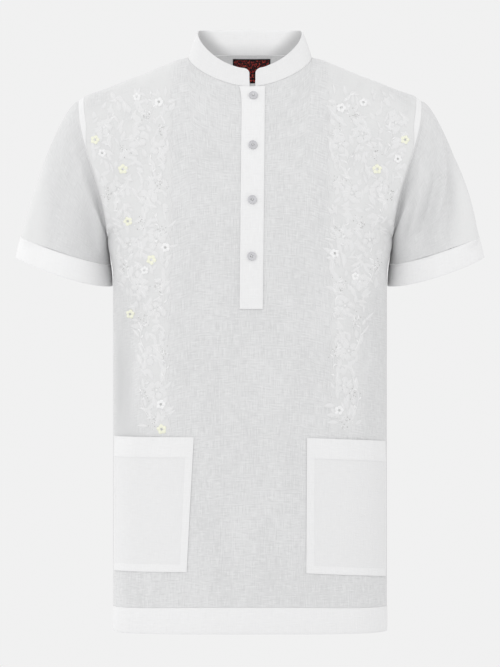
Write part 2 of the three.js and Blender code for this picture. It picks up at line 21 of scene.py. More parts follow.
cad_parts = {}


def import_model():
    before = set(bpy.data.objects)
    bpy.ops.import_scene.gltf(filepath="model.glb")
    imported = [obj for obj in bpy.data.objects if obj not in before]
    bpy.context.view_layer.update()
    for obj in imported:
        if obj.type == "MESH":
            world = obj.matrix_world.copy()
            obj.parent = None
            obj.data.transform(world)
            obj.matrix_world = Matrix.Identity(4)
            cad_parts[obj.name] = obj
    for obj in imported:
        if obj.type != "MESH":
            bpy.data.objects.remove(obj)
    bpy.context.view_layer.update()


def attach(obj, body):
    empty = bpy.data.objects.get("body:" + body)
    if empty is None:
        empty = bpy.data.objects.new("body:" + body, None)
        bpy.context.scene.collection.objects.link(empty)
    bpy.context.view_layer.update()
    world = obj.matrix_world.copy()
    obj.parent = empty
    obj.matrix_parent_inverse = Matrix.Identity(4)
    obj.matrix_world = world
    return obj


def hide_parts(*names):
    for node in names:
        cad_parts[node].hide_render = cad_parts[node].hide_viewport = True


MM = 0.001
TINY = 1e-9
UV_NAME = "cloth"
# The attribute whitens cloth under needlework and fells, and carries painted light and shade.
WORKED_AND_PAINTED_LIGHT_NAME = "worked_and_painted_light"
LOG = logging.getLogger("fatua")

Array = np.ndarray
Material = bpy.types.Material
Piece = bpy.types.Object
Place = tuple[float, float]
Span = tuple[float, float]


class Side(IntEnum):
    """The half of the body that a panel covers."""

    FRONT = -1
    BACK = 1


class Arm(IntEnum):
    """The wearer's arm that a sleeve belongs to."""

    RIGHT = -1
    LEFT = 1

    @property
    def word(self) -> str:
        """The arm's name as it stands in a node's name."""
        return self.name.lower()


class Slot(Enum):
    """The record's material slots."""

    VOILE = "voile"
    DOUBLE = "double_voile"
    PEARL = "pearl"
    LABEL = "label_satin"


class Edge(Enum):
    """An edge of a grid: its first or last row, or its first or last column."""

    LOW = (0, 1)
    HIGH = (0, -1)
    START = (1, 1)
    END = (1, -1)


# ---- Shader maths ----


class Wire:
    """A socket in a material that takes part in Python expressions."""

    def __init__(self, bench: Bench, socket: bpy.types.NodeSocket) -> None:
        """Keeps the socket and the bench that makes its nodes."""
        self.bench = bench
        self.socket = socket

    def _maths(self, operation: str, first: Wire | float, second: Wire | float) -> Wire:
        """Adds one Math node with two operands and gives its result."""
        return self.bench.node("ShaderNodeMath", {"operation": operation}, {0: first, 1: second})

    def __add__(self, other: Wire | float) -> Wire:
        """The sum."""
        return self._maths("ADD", self, other)

    def __radd__(self, other: float) -> Wire:
        """The sum, with a number first."""
        return self._maths("ADD", other, self)

    def __sub__(self, other: Wire | float) -> Wire:
        """The difference."""
        return self._maths("SUBTRACT", self, other)

    def __rsub__(self, other: float) -> Wire:
        """The difference, with a number first."""
        return self._maths("SUBTRACT", other, self)

    def __mul__(self, other: Wire | float) -> Wire:
        """The product."""
        return self._maths("MULTIPLY", self, other)

    def __rmul__(self, other: float) -> Wire:
        """The product, with a number first."""
        return self._maths("MULTIPLY", other, self)

    def __gt__(self, other: Wire | float) -> Wire:
        """One where the value is greater, else zero."""
        return self._maths("GREATER_THAN", self, other)

    def __lt__(self, other: Wire | float) -> Wire:
        """One where the value is less, else zero."""
        return self._maths("LESS_THAN", self, other)

    def __abs__(self) -> Wire:
        """The size without its sign."""
        return self._maths("ABSOLUTE", self, 0.0)


class Bench:
    """A new node material, with the one method that makes its nodes."""

    def __init__(self, name: str) -> None:
        """Starts a material with only its output.

        Args:
            name: The material's name.
        """
        self.material = bpy.data.materials.new(name)
        self.material.use_nodes = True
        self.tree = self.material.node_tree
        self.tree.nodes.clear()

    def node(
        self,
        kind: str,
        settings: dict[str, object] | None = None,
        inputs: dict[str | int, object] | None = None,
        output: str | int = 0,
    ) -> Wire:
        """Makes a node: settings first, then the values or links of its sockets.

        Args:
            kind: The node's type.
            settings: Its properties.
            inputs: Values or wires, by socket name or number.
            output: The socket to give back.

        Returns:
            That output as a wire.
        """
        made = self.tree.nodes.new(kind)
        for key, value in (settings or {}).items():
            setattr(made, key, value)
        for key, value in (inputs or {}).items():
            if isinstance(value, Wire):
                self.tree.links.new(value.socket, made.inputs[key])
            else:
                made.inputs[key].default_value = value
        sockets = made.outputs
        return Wire(self, sockets[output]) if len(sockets) else Wire(self, None)

    def blend(self, share: Wire | float, low: object, high: object) -> Wire:
        """Mixes two colours or wires by the share of the second one."""
        return self.node("ShaderNodeMix", {"data_type": "RGBA"}, {0: share, 6: low, 7: high}, 2)

    def eased(self, value: Wire, low: float, high: float) -> Wire:
        """Rises smoothly from 0 to 1 while a value goes from low to high."""
        sockets = {"Value": value, "From Min": low, "From Max": high}
        return self.node("ShaderNodeMapRange", {"interpolation_type": "SMOOTHSTEP"}, sockets)

    def stretched(self, scale: Span, shift: float = 0.0) -> Wire:
        """The cloth's own coordinates, in metres, stretched.

        Args:
            scale: Features for each metre across and along the cloth.
            shift: Moves the pattern, so that two layers differ.

        Returns:
            A vector for a texture.
        """
        cloth = self.node("ShaderNodeUVMap", {"uv_map": UV_NAME})
        sockets = {"Vector": cloth, "Scale": (*scale, 1.0), "Location": (shift, shift, 0.0)}
        return self.node("ShaderNodeMapping", {}, sockets)

    def noise(self, scale: Span, detail: float = 1.0, shift: float = 0.0) -> Wire:
        """Noise over the cloth about 0.5, by features for each metre and octaves above the first."""
        sockets = {"Vector": self.stretched(scale, shift), "Scale": 1.0, "Detail": detail}
        return self.node("ShaderNodeTexNoise", {}, sockets)

    def finish(self, surface: dict[str, object], bump: Wire | None = None, depth: float = 0.0) -> Material:
        """Joins a Principled shader to the output.

        Args:
            surface: Its sockets' values or wires.
            bump: A height that feeds the normal.
            depth: The height of that bump, in metres.

        Returns:
            The finished material.
        """
        sockets = dict(surface)
        if bump is not None:
            relief = {"Height": bump, "Distance": depth, "Strength": 1.0}
            sockets["Normal"] = self.node("ShaderNodeBump", {}, relief)
        shader = self.node("ShaderNodeBsdfPrincipled", {}, sockets)
        self.node("ShaderNodeOutputMaterial", {}, {"Surface": shader})
        return self.material


Colour = tuple[float, float, float]

WHITE = (1.0, 1.0, 1.0)
BLACK = (0.0, 0.0, 0.0)


def opaque(colour: Colour) -> tuple[float, float, float, float]:
    """The colour with full alpha."""
    return (*colour, 1.0)


@dataclass(frozen=True)
class ClothFinish:
    """A slub voile: thick and thin yarns across and along, more visible in one layer.

    The mesh's attribute blends the cloth to a whiter colour where it is positive, for needlework, a
    fell behind it and painted light on the sleeves and cuffs, and to a colour of painted shade where it
    is negative. A painted glow stands for light that comes through from behind, and it fades out below
    a line that slopes down to both sides.
    """

    name: str
    thin: Colour
    thick: Colour
    contrast: float
    roughness: float = 0.88
    sheen: float = 0.35
    worked_and_painted_light: Colour | None = None
    shaded: Colour | None = None
    glow: float = 0.0
    glow_half_width: float = 0.0
    glow_core: float = 0.66
    glow_top: float = 0.046
    glow_slope: float = 1.0
    glow_fall: Span = (0.016, 0.038)
    glow_loss: float = 0.5
    slub_gain: float = 9.0
    slub_across: Span = (640.0, 60.0)
    slub_along: Span = (80.0, 560.0)
    yarns: Span = (2300.0, 2100.0)
    yarn_length: float = 14.0
    cloud: Span = (26.0, 11.0)
    slub_tone: float = 2.1
    yarn_tone: float = 0.42
    cloud_tone: float = 0.75
    slub_relief: float = 0.8
    relief: float = 0.00012
    specular: float = 0.2

    def make(self) -> Material:
        """Builds the material.

        Returns:
            The cloth's material.
        """
        bench = Bench(self.name)
        warp_slub = bench.noise(self.slub_across, 2.0)
        weft_slub = bench.noise(self.slub_along, 2.0, 3.7)
        warp = bench.noise((self.yarns[0], self.yarns[0] / self.yarn_length), 1.0, 1.3)
        weft = bench.noise((self.yarns[1] / self.yarn_length, self.yarns[1]), 1.0, 5.1)
        cloud = bench.noise(self.cloud, 1.0, 2.2)
        swells = sum((each - 0.5) * abs(each - 0.5) for each in (warp_slub, weft_slub))
        slubs = self.slub_gain * swells
        yarns = warp + weft - 1.0
        uneven = self.slub_tone * slubs + self.yarn_tone * yarns + self.cloud_tone * (cloud - 0.5)
        tone = 0.5 + self.contrast * uneven
        colour = bench.blend(tone, opaque(self.thin), opaque(self.thick))
        if self.worked_and_painted_light is not None:
            share = bench.node("ShaderNodeAttribute", {"attribute_name": WORKED_AND_PAINTED_LIGHT_NAME}, {}, "Fac")
            colour = bench.blend(share, colour, opaque(self.worked_and_painted_light))
            if self.shaded is not None:
                colour = bench.blend(0.0 - share, colour, opaque(self.shaded))
        surface = {
            "Base Color": colour,
            "Roughness": self.roughness,
            "Sheen Weight": self.sheen,
            "Specular IOR Level": self.specular,
            "Emission Color": self.light_through(bench) if self.glow_half_width else opaque(WHITE),
            "Emission Strength": self.glow,
        }
        return bench.finish(surface, yarns + self.slub_relief * slubs, self.relief)

    def light_through(self, bench: Bench) -> Wire:
        """The colour of the light from behind, fading to black at the sides and below.

        Args:
            bench: The material.

        Returns:
            The colour.
        """
        place = bench.node("ShaderNodeTexCoord", {}, {}, "Object")
        drop = self.glow_top - bench.node("ShaderNodeSeparateXYZ", {}, {0: place}, 2)
        sideways = abs(bench.node("ShaderNodeSeparateXYZ", {}, {0: place}, 0))
        across = sideways + self.glow_slope * drop
        beside = bench.eased(across, self.glow_core * self.glow_half_width, self.glow_half_width)
        below = bench.eased(drop, *self.glow_fall)
        lost = 1.0 - (1.0 - beside) * (1.0 - self.glow_loss * below)
        return bench.blend(lost, opaque(WHITE), opaque(BLACK))


@dataclass(frozen=True)
class ThreadFinish:
    """Embroidery or sewing thread laid in close satin stitches."""

    name: str
    colour: Colour
    shade: Colour
    strand_scale: Span = (160.0, 2600.0)
    wear_scale: Span = (90.0, 90.0)
    strand_tone: float = 0.9
    wear_tone: float = 0.4
    roughness: float = 0.5
    relief: float = 0.0002

    def make(self) -> Material:
        """Builds the material.

        Returns:
            The thread's material.
        """
        bench = Bench(self.name)
        strands = bench.noise(self.strand_scale, 1.0)
        wear = bench.noise(self.wear_scale, 1.0, 4.4)
        tone = 0.55 + self.strand_tone * (strands - 0.5) + self.wear_tone * (wear - 0.5)
        surface = {
            "Base Color": bench.blend(tone, opaque(self.shade), opaque(self.colour)),
            "Roughness": self.roughness,
            "Sheen Weight": 0.2,
            "Specular IOR Level": 0.35,
        }
        return bench.finish(surface, strands, self.relief)


@dataclass(frozen=True)
class PearlFinish:
    """Grey pearl with faint clouds and a soft gloss."""

    name: str = "button_pearl"
    dark: Colour = (0.42, 0.42, 0.44)
    light: Colour = (0.66, 0.66, 0.68)
    cloud_scale: float = 420.0
    band_scale: float = 130.0

    def make(self) -> Material:
        """Builds the material.

        Returns:
            The button's material.
        """
        bench = Bench(self.name)
        place = bench.node("ShaderNodeTexCoord", {}, {}, "Object")
        coarse = {"Vector": place, "Scale": self.cloud_scale, "Detail": 3.0, "Distortion": 1.4}
        clouds = bench.node("ShaderNodeTexNoise", {}, coarse)
        smooth = {"Vector": place, "Scale": self.band_scale, "Detail": 1.0}
        bands = bench.node("ShaderNodeTexNoise", {}, smooth)
        surface = {
            "Base Color": bench.blend(0.55 * clouds + 0.45 * bands, opaque(self.dark), opaque(self.light)),
            "Roughness": 0.22 + 0.2 * clouds,
            "Coat Weight": 0.35,
            "Coat Roughness": 0.15,
        }
        return bench.finish(surface)


@dataclass(frozen=True)
class LabelFinish:
    """Near-black woven satin with an irregular red ornament inside a plain frame, and no words."""

    name: str = "label_satin"
    ground: Colour = (0.010, 0.008, 0.010)
    ornament: Colour = (0.40, 0.03, 0.03)
    bright: Colour = (0.66, 0.15, 0.07)
    width: float = 0.052
    height: float = 0.0315
    border: float = 0.0016
    spray_scale: Span = (420.0, 420.0)
    heart_scale: Span = (700.0, 700.0)
    thread_scale: Span = (900.0, 3200.0)
    spray_from: float = 0.535
    heart_from: float = 0.58
    bright_from: float = 0.57
    relief: float = 0.0001

    def make(self) -> Material:
        """Builds the material.

        Returns:
            The label's material.
        """
        bench = Bench(self.name)
        cloth = bench.node("ShaderNodeUVMap", {"uv_map": UV_NAME})
        across = bench.node("ShaderNodeSeparateXYZ", {}, {0: cloth}, 0)
        up = bench.node("ShaderNodeSeparateXYZ", {}, {0: cloth}, 1)
        inside_x = abs(across - self.width / 2) < self.width / 2 - self.border
        inside_y = abs(up - self.height / 2) < self.height / 2 - self.border
        sprays = bench.noise(self.spray_scale, 2.0)
        hearts = bench.noise(self.heart_scale, 1.0, 6.1)
        threads = bench.noise(self.thread_scale, 1.0)
        shown = (sprays > self.spray_from) * inside_x * inside_y * (0.6 + 0.5 * threads)
        heart = (hearts > self.heart_from) * (sprays > self.bright_from)
        red = bench.blend(heart, opaque(self.ornament), opaque(self.bright))
        surface = {
            "Base Color": bench.blend(shown, opaque(self.ground), red),
            "Roughness": 0.7,
            "Sheen Weight": 0.05,
            "Specular IOR Level": 0.15,
        }
        return bench.finish(surface, threads, self.relief)


@dataclass(frozen=True)
class FloorFinish:
    """A pale matt floor."""

    name: str = "studio_floor"
    pale: Colour = (0.80, 0.80, 0.80)
    grey: Colour = (0.76, 0.76, 0.765)

    def make(self) -> Material:
        """Builds the material.

        Returns:
            The floor's material.
        """
        bench = Bench(self.name)
        place = bench.node("ShaderNodeTexCoord", {}, {}, "Object")
        mottle = bench.node("ShaderNodeTexNoise", {}, {"Vector": place, "Scale": 3.0, "Detail": 3.0})
        colour = bench.blend(mottle, opaque(self.pale), opaque(self.grey))
        return bench.finish({"Base Color": colour, "Roughness": 0.95})


# ---- Cloth as grids ----


def soft_step(low: float, high: float, value: Array | float) -> Array | float:
    """Rises smoothly from 0 at low to 1 at high, which may be the smaller of the two."""
    share = np.clip((value - low) / (high - low), 0.0, 1.0)
    return share * share * (3.0 - 2.0 * share)


def mix(low: object, high: object, share: object) -> object:
    """Straight interpolation between two numbers, arrays or points."""
    return low + (high - low) * share


def grid_normals(points: Array, wrap: bool = False) -> Array:
    """Unit normals of a grid of points, across its columns times up its rows.

    Args:
        points: Rows by columns by three.
        wrap: Whether the last column meets the first.

    Returns:
        One normal for each point.
    """
    if wrap:
        across = np.roll(points, -1, axis=1) - np.roll(points, 1, axis=1)
    else:
        across = np.gradient(points, axis=1)
    normals = np.cross(across, np.gradient(points, axis=0))
    return normals / np.maximum(np.linalg.norm(normals, axis=2, keepdims=True), TINY)


def cloth_coordinates(points: Array, wrap: bool = False) -> Array:
    """Distances across and along the cloth, in metres, for the weave.

    Args:
        points: Rows by columns by three, in millimetres.
        wrap: Whether one more column closes the tube.

    Returns:
        Rows by columns by two.
    """
    closed = np.concatenate([points, points[:, :1]], axis=1) if wrap else points
    across = np.linalg.norm(np.diff(closed, axis=1), axis=2).mean(axis=0)
    along = np.linalg.norm(np.diff(closed, axis=0), axis=2).mean(axis=1)
    u = np.concatenate([[0.0], np.cumsum(across)]) * MM
    v = np.concatenate([[0.0], np.cumsum(along)]) * MM
    return np.stack(np.meshgrid(u, v), axis=2)


@dataclass
class Shell:
    """A cloth piece as a grid of points on its outer face, given a wall inwards."""

    name: str
    points: Array
    wall: float
    wrap: bool = False
    outward: float = 1.0
    coordinates: Array | None = None
    rounded: float = 0.0
    # Whiter under needlework and fells, and painted light and shade, at each point.
    worked_and_painted_light: Array | None = None

    def cells(self) -> list[tuple[int, int]]:
        """The row and column of each quad's first corner.

        Returns:
            Pairs in the order of the quads.
        """
        rows, columns = self.points.shape[:2]
        spans = columns if self.wrap else columns - 1
        return [(i, j) for i in range(rows - 1) for j in range(spans)]

    def faces(self) -> list[tuple[int, int, int, int]]:
        """The grid's quads, wound to face outwards.

        Returns:
            Vertex numbers of each quad.
        """
        columns = self.points.shape[1]
        quads = []
        for i, j in self.cells():
            k = (j + 1) % columns
            quad = (i * columns + j, i * columns + k, (i + 1) * columns + k, (i + 1) * columns + j)
            quads.append(quad if self.outward > 0 else quad[::-1])
        return quads

    def corner_coordinates(self) -> list[float]:
        """The weave's coordinates of each quad's corners, in the order of the quads.

        Returns:
            A flat list of pairs.
        """
        table = self.coordinates
        if table is None:
            table = cloth_coordinates(self.points, self.wrap)
        flat = []
        for i, j in self.cells():
            corners = [(i, j), (i, j + 1), (i + 1, j + 1), (i + 1, j)]
            for row, column in corners if self.outward > 0 else corners[::-1]:
                flat.extend(table[row, column])
        return flat

    def seam(self, edge: Edge, inset: float) -> tuple[Array, Array]:
        """A line that follows one edge of the cloth.

        Args:
            edge: The edge.
            inset: Its distance from the edge.

        Returns:
            The line's points and the cloth's outward normals there.
        """
        axis, step = edge.value
        facing = grid_normals(self.points, self.wrap) * self.outward
        points, facing = (np.swapaxes(grid, 0, axis)[::step] for grid in (self.points, facing))
        reach = np.cumsum(np.linalg.norm(np.diff(points, axis=0), axis=2), axis=0)
        path, normals = [], []
        for j in range(points.shape[1]):
            place = np.interp(inset, np.concatenate([[0.0], reach[:, j]]), np.arange(points.shape[0]))
            low = min(int(place), points.shape[0] - 2)
            path.append(mix(points[low, j], points[low + 1, j], place - low))
            normals.append(mix(facing[low, j], facing[low + 1, j], place - low))
        if self.wrap and axis == 0:
            path, normals = [*path, path[0]], [*normals, normals[0]]
        return np.array(path), np.array(normals)

    def make(self, material: Material, lining: Material | None = None) -> Piece:
        """Builds the mesh object and gives it its wall.

        Args:
            material: Its finish.
            lining: The finish of its inner face, if that looks different.

        Returns:
            The finished object.
        """
        mesh = bpy.data.meshes.new(self.name)
        mesh.from_pydata((self.points.reshape(-1, 3) * MM).tolist(), [], self.faces())
        mesh.uv_layers.new(name=UV_NAME).data.foreach_set("uv", self.corner_coordinates())
        piece = add_object(self.name, mesh)
        mesh.materials.append(material)
        if self.worked_and_painted_light is not None:
            worked_and_painted_light = mesh.attributes.new(WORKED_AND_PAINTED_LIGHT_NAME, "FLOAT", "POINT")
            worked_and_painted_light.data.foreach_set("value", self.worked_and_painted_light.ravel())
        select_only(piece)
        solid = piece.modifiers.new("wall", "SOLIDIFY")
        if lining is not None:
            mesh.materials.append(lining)
            solid.material_offset = 1
        solid.thickness = self.wall * MM
        solid.offset = -1.0
        bpy.ops.object.modifier_apply(modifier=solid.name)
        if self.rounded:
            round_edges(self.rounded, 2, 60.0)
        bpy.ops.object.shade_smooth_by_angle(angle=math.radians(50.0))
        return piece


def add_object(name: str, data: bpy.types.ID) -> Piece:
    """Puts a mesh, a camera or a light in the scene.

    Args:
        name: The object's name.
        data: What it shows.

    Returns:
        The object.
    """
    made = bpy.data.objects.new(name, data)
    bpy.context.scene.collection.objects.link(made)
    return made


def deselect_all() -> None:
    """Clears the selection."""
    for other in bpy.context.selected_objects:
        other.select_set(False)


def select_only(piece: Piece) -> None:
    """Selects one object and makes it the active one.

    Args:
        piece: The object.
    """
    deselect_all()
    piece.select_set(True)
    bpy.context.view_layer.objects.active = piece


def round_edges(width: float, segments: int, angle: float) -> None:
    """Bevels the sharp edges of the active object.

    Args:
        width: The bevel's width, in millimetres.
        segments: How many steps round it.
        angle: The least turn of a sharp edge, in degrees.
    """
    piece = bpy.context.object
    bevel = piece.modifiers.new("edge", "BEVEL")
    bevel.width = width * MM
    bevel.segments = segments
    bevel.limit_method = "ANGLE"
    bevel.angle_limit = math.radians(angle)
    bpy.ops.object.modifier_apply(modifier=bevel.name)


def settle(piece: Piece, slot: Slot, *nodes: str) -> Piece:
    """Ties a piece to the garment's body and hides the frame's nodes that it stands for.

    Args:
        piece: The finished piece.
        slot: The record's slot of the piece; not used.
        nodes: The frame's nodes that it replaces.

    Returns:
        The same piece.
    """
    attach(piece, "root")
    if nodes:
        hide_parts(*nodes)
    triangles = sum(len(face.vertices) - 2 for face in piece.data.polygons)
    LOG.info("%s: %d triangles, replaces %s", piece.name, triangles, ", ".join(nodes) or "nothing")
    return piece


@dataclass
class Seamstress:
    """Sews topstitching along the edges of the pieces, each row a little inside its edge."""

    thread: Material
    inset: float = 2.0
    length: float = 2.0
    pitch: float = 2.9
    half_width: float = 0.2
    foot: float = 0.05
    height: float = 0.22

    def row(self, path: Array, normals: Array) -> list[list[Array]]:
        """Stitches along a path, each a small raised bead.

        Args:
            path: Points of the seam.
            normals: The cloth's outward normal at each point.

        Returns:
            The corners of each stitch, its top last.
        """
        reach = np.concatenate([[0.0], np.cumsum(np.linalg.norm(np.diff(path, axis=0), axis=1))])
        stitches = []
        for start in np.arange(self.inset, reach[-1] - self.inset - self.length, self.pitch):
            first, last = (
                np.array([np.interp(place, reach, path[:, k]) for k in range(3)])
                for place in (start, start + self.length)
            )
            normal = np.array([np.interp(start, reach, normals[:, k]) for k in range(3)])
            square = np.cross(normal, last - first)
            square *= self.half_width / max(np.linalg.norm(square), TINY)
            middle = (first + last) / 2 + self.foot * normal
            top = middle + normal * self.height
            stitches.append([first, middle + square, last, middle - square, top])
        return stitches

    def sew(self, shell: Shell, edges: Sequence[Edge], insets: Sequence[float] = ()) -> Piece:
        """Sews along some edges of a piece.

        Args:
            shell: The piece.
            edges: The edges.
            insets: A distance from each edge, if not the usual one.

        Returns:
            The stitches as one object.
        """
        vertices, faces = [], []
        for edge, inset in zip(edges, insets or [self.inset] * len(edges)):
            for corners in self.row(*shell.seam(edge, inset)):
                base = len(vertices)
                vertices.extend(tuple(corner * MM) for corner in corners)
                faces.extend((base + a, base + b, base + 4) for a, b in ((0, 1), (1, 2), (2, 3), (3, 0)))
                faces.append((base + 3, base + 2, base + 1, base))
        mesh = bpy.data.meshes.new(f"{shell.name}_stitches")
        mesh.from_pydata(vertices, [], faces)
        mesh.uv_layers.new(name=UV_NAME)
        mesh.materials.append(self.thread)
        return settle(add_object(mesh.name, mesh), Slot.DOUBLE)


@dataclass(frozen=True)
class Fold:
    """A soft ridge or trough in a panel, from one place to another."""

    start: Place
    end: Place
    half_width: float
    height: float

    def lift(self, across: Array, up: Array) -> Array:
        """How far the fold moves the cloth out.

        Args:
            across: First coordinate of each point.
            up: Second coordinate of each point.

        Returns:
            The distance at each point, in millimetres.
        """
        run = np.array(self.end) - np.array(self.start)
        length = float(np.hypot(*run))
        along = ((across - self.start[0]) * run[0] + (up - self.start[1]) * run[1]) / length**2
        inside = np.clip(along, 0.0, 1.0)
        gap = np.hypot(across - self.start[0] - inside * run[0], up - self.start[1] - inside * run[1])
        taper = np.sin(np.pi * np.clip(along, 0.02, 0.98)) ** 0.7
        return self.height * taper * np.exp(-((gap / self.half_width) ** 2))


# ---- The torso ----


@dataclass(frozen=True)
class Torso:
    """The worn form of the body, named by a share of the half width and a height at the side."""

    hem_z: float = -774.0
    band_height: float = 34.0
    lift_height: float = 4.8
    lift_fade: float = 80.0
    armpit_z: float = -242.0
    tip_z: float = -56.0
    hip_z: float = -292.0
    shoulder_half: float = 232.0
    armpit_half: float = 194.0
    hip_half: float = 186.0
    front_depth: float = 130.0
    front_fill: float = 300.0
    back_depth: float = 118.0
    back_fill: float = 200.0
    body_power: float = 2.4
    yoke_power: float = 2.5
    armhole_power: float = 9.0
    fade_below: float = 45.0
    fade_above: float = 150.0
    armhole_depth: float = 58.0
    armhole_lean: float = 1.1
    armhole_blend: float = 200.0
    blend_reach: float = 0.8
    blend_samples: int = 5
    neck_half: float = 84.0
    neck_point_z: float = 3.0
    front_neck_z: float = -42.0
    front_neck_power: float = 1.6
    back_neck_z: float = 10.5
    front_crest: float = 5.0
    back_crest: float = 27.0
    seam: float = 0.15
    top_passes: int = 14
    place_passes: int = 10
    shoulder_x: tuple[float, ...] = (84, 99, 147, 171, 198, 222, 232)
    shoulder_z: tuple[float, ...] = (3, 0, -20, -29, -40, -48, -56)

    @property
    def neck_share(self) -> float:
        """The share of the half width at the neck points."""
        return self.neck_half / self.shoulder_half

    @property
    def band_top(self) -> float:
        """The height of the hem band's upper edge."""
        return self.hem_z + self.band_height

    def armhole_angle(self, edge: Array) -> Array:
        """The turn round the armhole, from 0 at the armpit to pi at the shoulder tip."""
        share = np.clip((edge - self.armpit_z) / (self.tip_z - self.armpit_z), 0.0, 1.0)
        return np.arccos(1.0 - 2.0 * share)

    def armhole_swell(self, share: Array, edge: Array) -> Array:
        """The armhole's depth, averaged over a height that grows away from seam and shoulder.

        Args:
            share: Share of the half width.
            edge: Side height.

        Returns:
            The depth at each point.
        """
        widest = np.maximum(self.armhole_blend * (1.0 - np.abs(share)), 1e-6)
        reach = widest * (1.0 - np.exp(np.minimum(0.0, edge - self.tip_z) / widest))
        samples = np.linspace(-self.blend_reach, self.blend_reach, self.blend_samples)
        weights = 1.0 - samples**2
        swell = sum(w * np.sin(self.armhole_angle(edge + k * reach)) for k, w in zip(samples, weights))
        return self.armhole_depth * swell / weights.sum()

    def half_width(self, edge: Array) -> Array:
        """The half width at a height of the side edge.

        Args:
            edge: The height.

        Returns:
            The half width.
        """
        rise = soft_step(self.armpit_z, self.tip_z, edge)
        hips = mix(self.hip_half, self.armpit_half, soft_step(self.hip_z, self.armpit_z, edge))
        yoke = mix(self.armpit_half, self.shoulder_half, rise**self.armhole_lean)
        return np.where(edge <= self.armpit_z, hips, yoke)

    def crest(self, side: Side, share: Array) -> Array:
        """The height of the shoulder line, and of its imaginary crest over the neck.

        Args:
            side: Front or back.
            share: Share of the half width.

        Returns:
            The height above each point.
        """
        rise = self.front_crest if side is Side.FRONT else self.back_crest
        over_neck = self.neck_point_z + rise * (1.0 - (share / self.neck_share) ** 2)
        line = np.interp(np.abs(share) * self.shoulder_half, self.shoulder_x, self.shoulder_z)
        return np.where(np.abs(share) >= self.neck_share, line, over_neck)

    def fullness(self, side: Side, drop: Array) -> Array:
        """How far the panel stands off the side seams at a drop below its crest.

        Args:
            side: Front or back.
            drop: The drop.

        Returns:
            The distance at the middle.
        """
        depth = self.front_depth if side is Side.FRONT else self.back_depth
        fill = self.front_fill if side is Side.FRONT else self.back_fill
        short = 1.0 - np.clip(drop, 0.0, fill) / fill
        return depth * np.sqrt(1.0 - short * short)

    def rounding(self, share: Array) -> Array:
        """The superellipse of the body's section, from 1 at the middle to 0 at the side."""
        return np.maximum(0.0, 1.0 - np.abs(share) ** self.body_power) ** (1.0 / self.body_power)

    def hem_lift(self, share: Array, edge: Array) -> Array:
        """How far the hem's middle rises, front and back, and less above it."""
        return self.lift_height * self.rounding(share) ** 2 * np.exp((self.hem_z - edge) / self.lift_fade)

    def surface(self, side: Side, share: Array, edge: Array) -> Array:
        """Points of the worn surface.

        Args:
            side: Front or back.
            share: Share of the half width of each point, from -1 to 1.
            edge: Height at the side edge of each point's row.

        Returns:
            The points, in millimetres.
        """
        top = self.crest(side, share)
        z = self.hem_z + (top - self.hem_z) * (edge - self.hem_z) / (self.tip_z - self.hem_z)
        part = np.abs(share)
        fade = soft_step(self.armpit_z - self.fade_below, self.armpit_z + self.fade_above, edge)
        across = mix(self.rounding(share), 1.0 - part**self.yoke_power, fade)
        power = mix(self.armhole_power, self.yoke_power, fade)
        y = self.fullness(side, top - z) * across + self.armhole_swell(share, edge) * part**power
        rows = [self.half_width(edge) * share, side * (y + self.seam), z + self.hem_lift(share, edge)]
        return np.stack(rows, axis=-1)

    def neckline(self, side: Side, x: Array) -> Array:
        """The height of the neckline at a distance from the centre.

        Args:
            side: Front or back.
            x: The distance, of either sign.

        Returns:
            The height.
        """
        share = np.clip(np.abs(x) / self.neck_half, 0.0, 1.0)
        if side is Side.BACK:
            return mix(self.back_neck_z, self.neck_point_z, share**3)
        fall = (1.0 - share**self.front_neck_power) ** (1.0 / self.front_neck_power)
        return mix(self.neck_point_z, self.front_neck_z, fall)

    def top_edge(self, side: Side, share: Array) -> Array:
        """The side height of the row at which each column meets its shoulder or neckline.

        Args:
            side: Front or back.
            share: The columns' shares.

        Returns:
            One side height for each column.
        """
        edge = np.full_like(share, self.tip_z)
        for _ in range(self.top_passes):
            z = self.neckline(side, self.half_width(edge) * share)
            top = self.crest(side, share)
            wanted = self.hem_z + (z - self.hem_z) * (self.tip_z - self.hem_z) / (top - self.hem_z)
            edge = np.where(np.abs(share) >= self.neck_share - TINY, self.tip_z, wanted)
        return edge

    def locate(self, side: Side, x: Array, z: Array) -> tuple[Array, Array]:
        """Finds the share and side height of the surface's point at x and z.

        Args:
            side: Front or back.
            x: Distance to the wearer's left.
            z: Height.

        Returns:
            The share and the side height.
        """
        edge = np.array(z, dtype=float)
        share = np.clip(x / self.half_width(edge), -1.0, 1.0)
        for _ in range(self.place_passes):
            top = self.crest(side, share)
            level = z - self.hem_lift(share, edge)
            edge = self.hem_z + (level - self.hem_z) * (self.tip_z - self.hem_z) / (top - self.hem_z)
            share = np.clip(x / self.half_width(edge), -1.0, 1.0)
        return share, edge


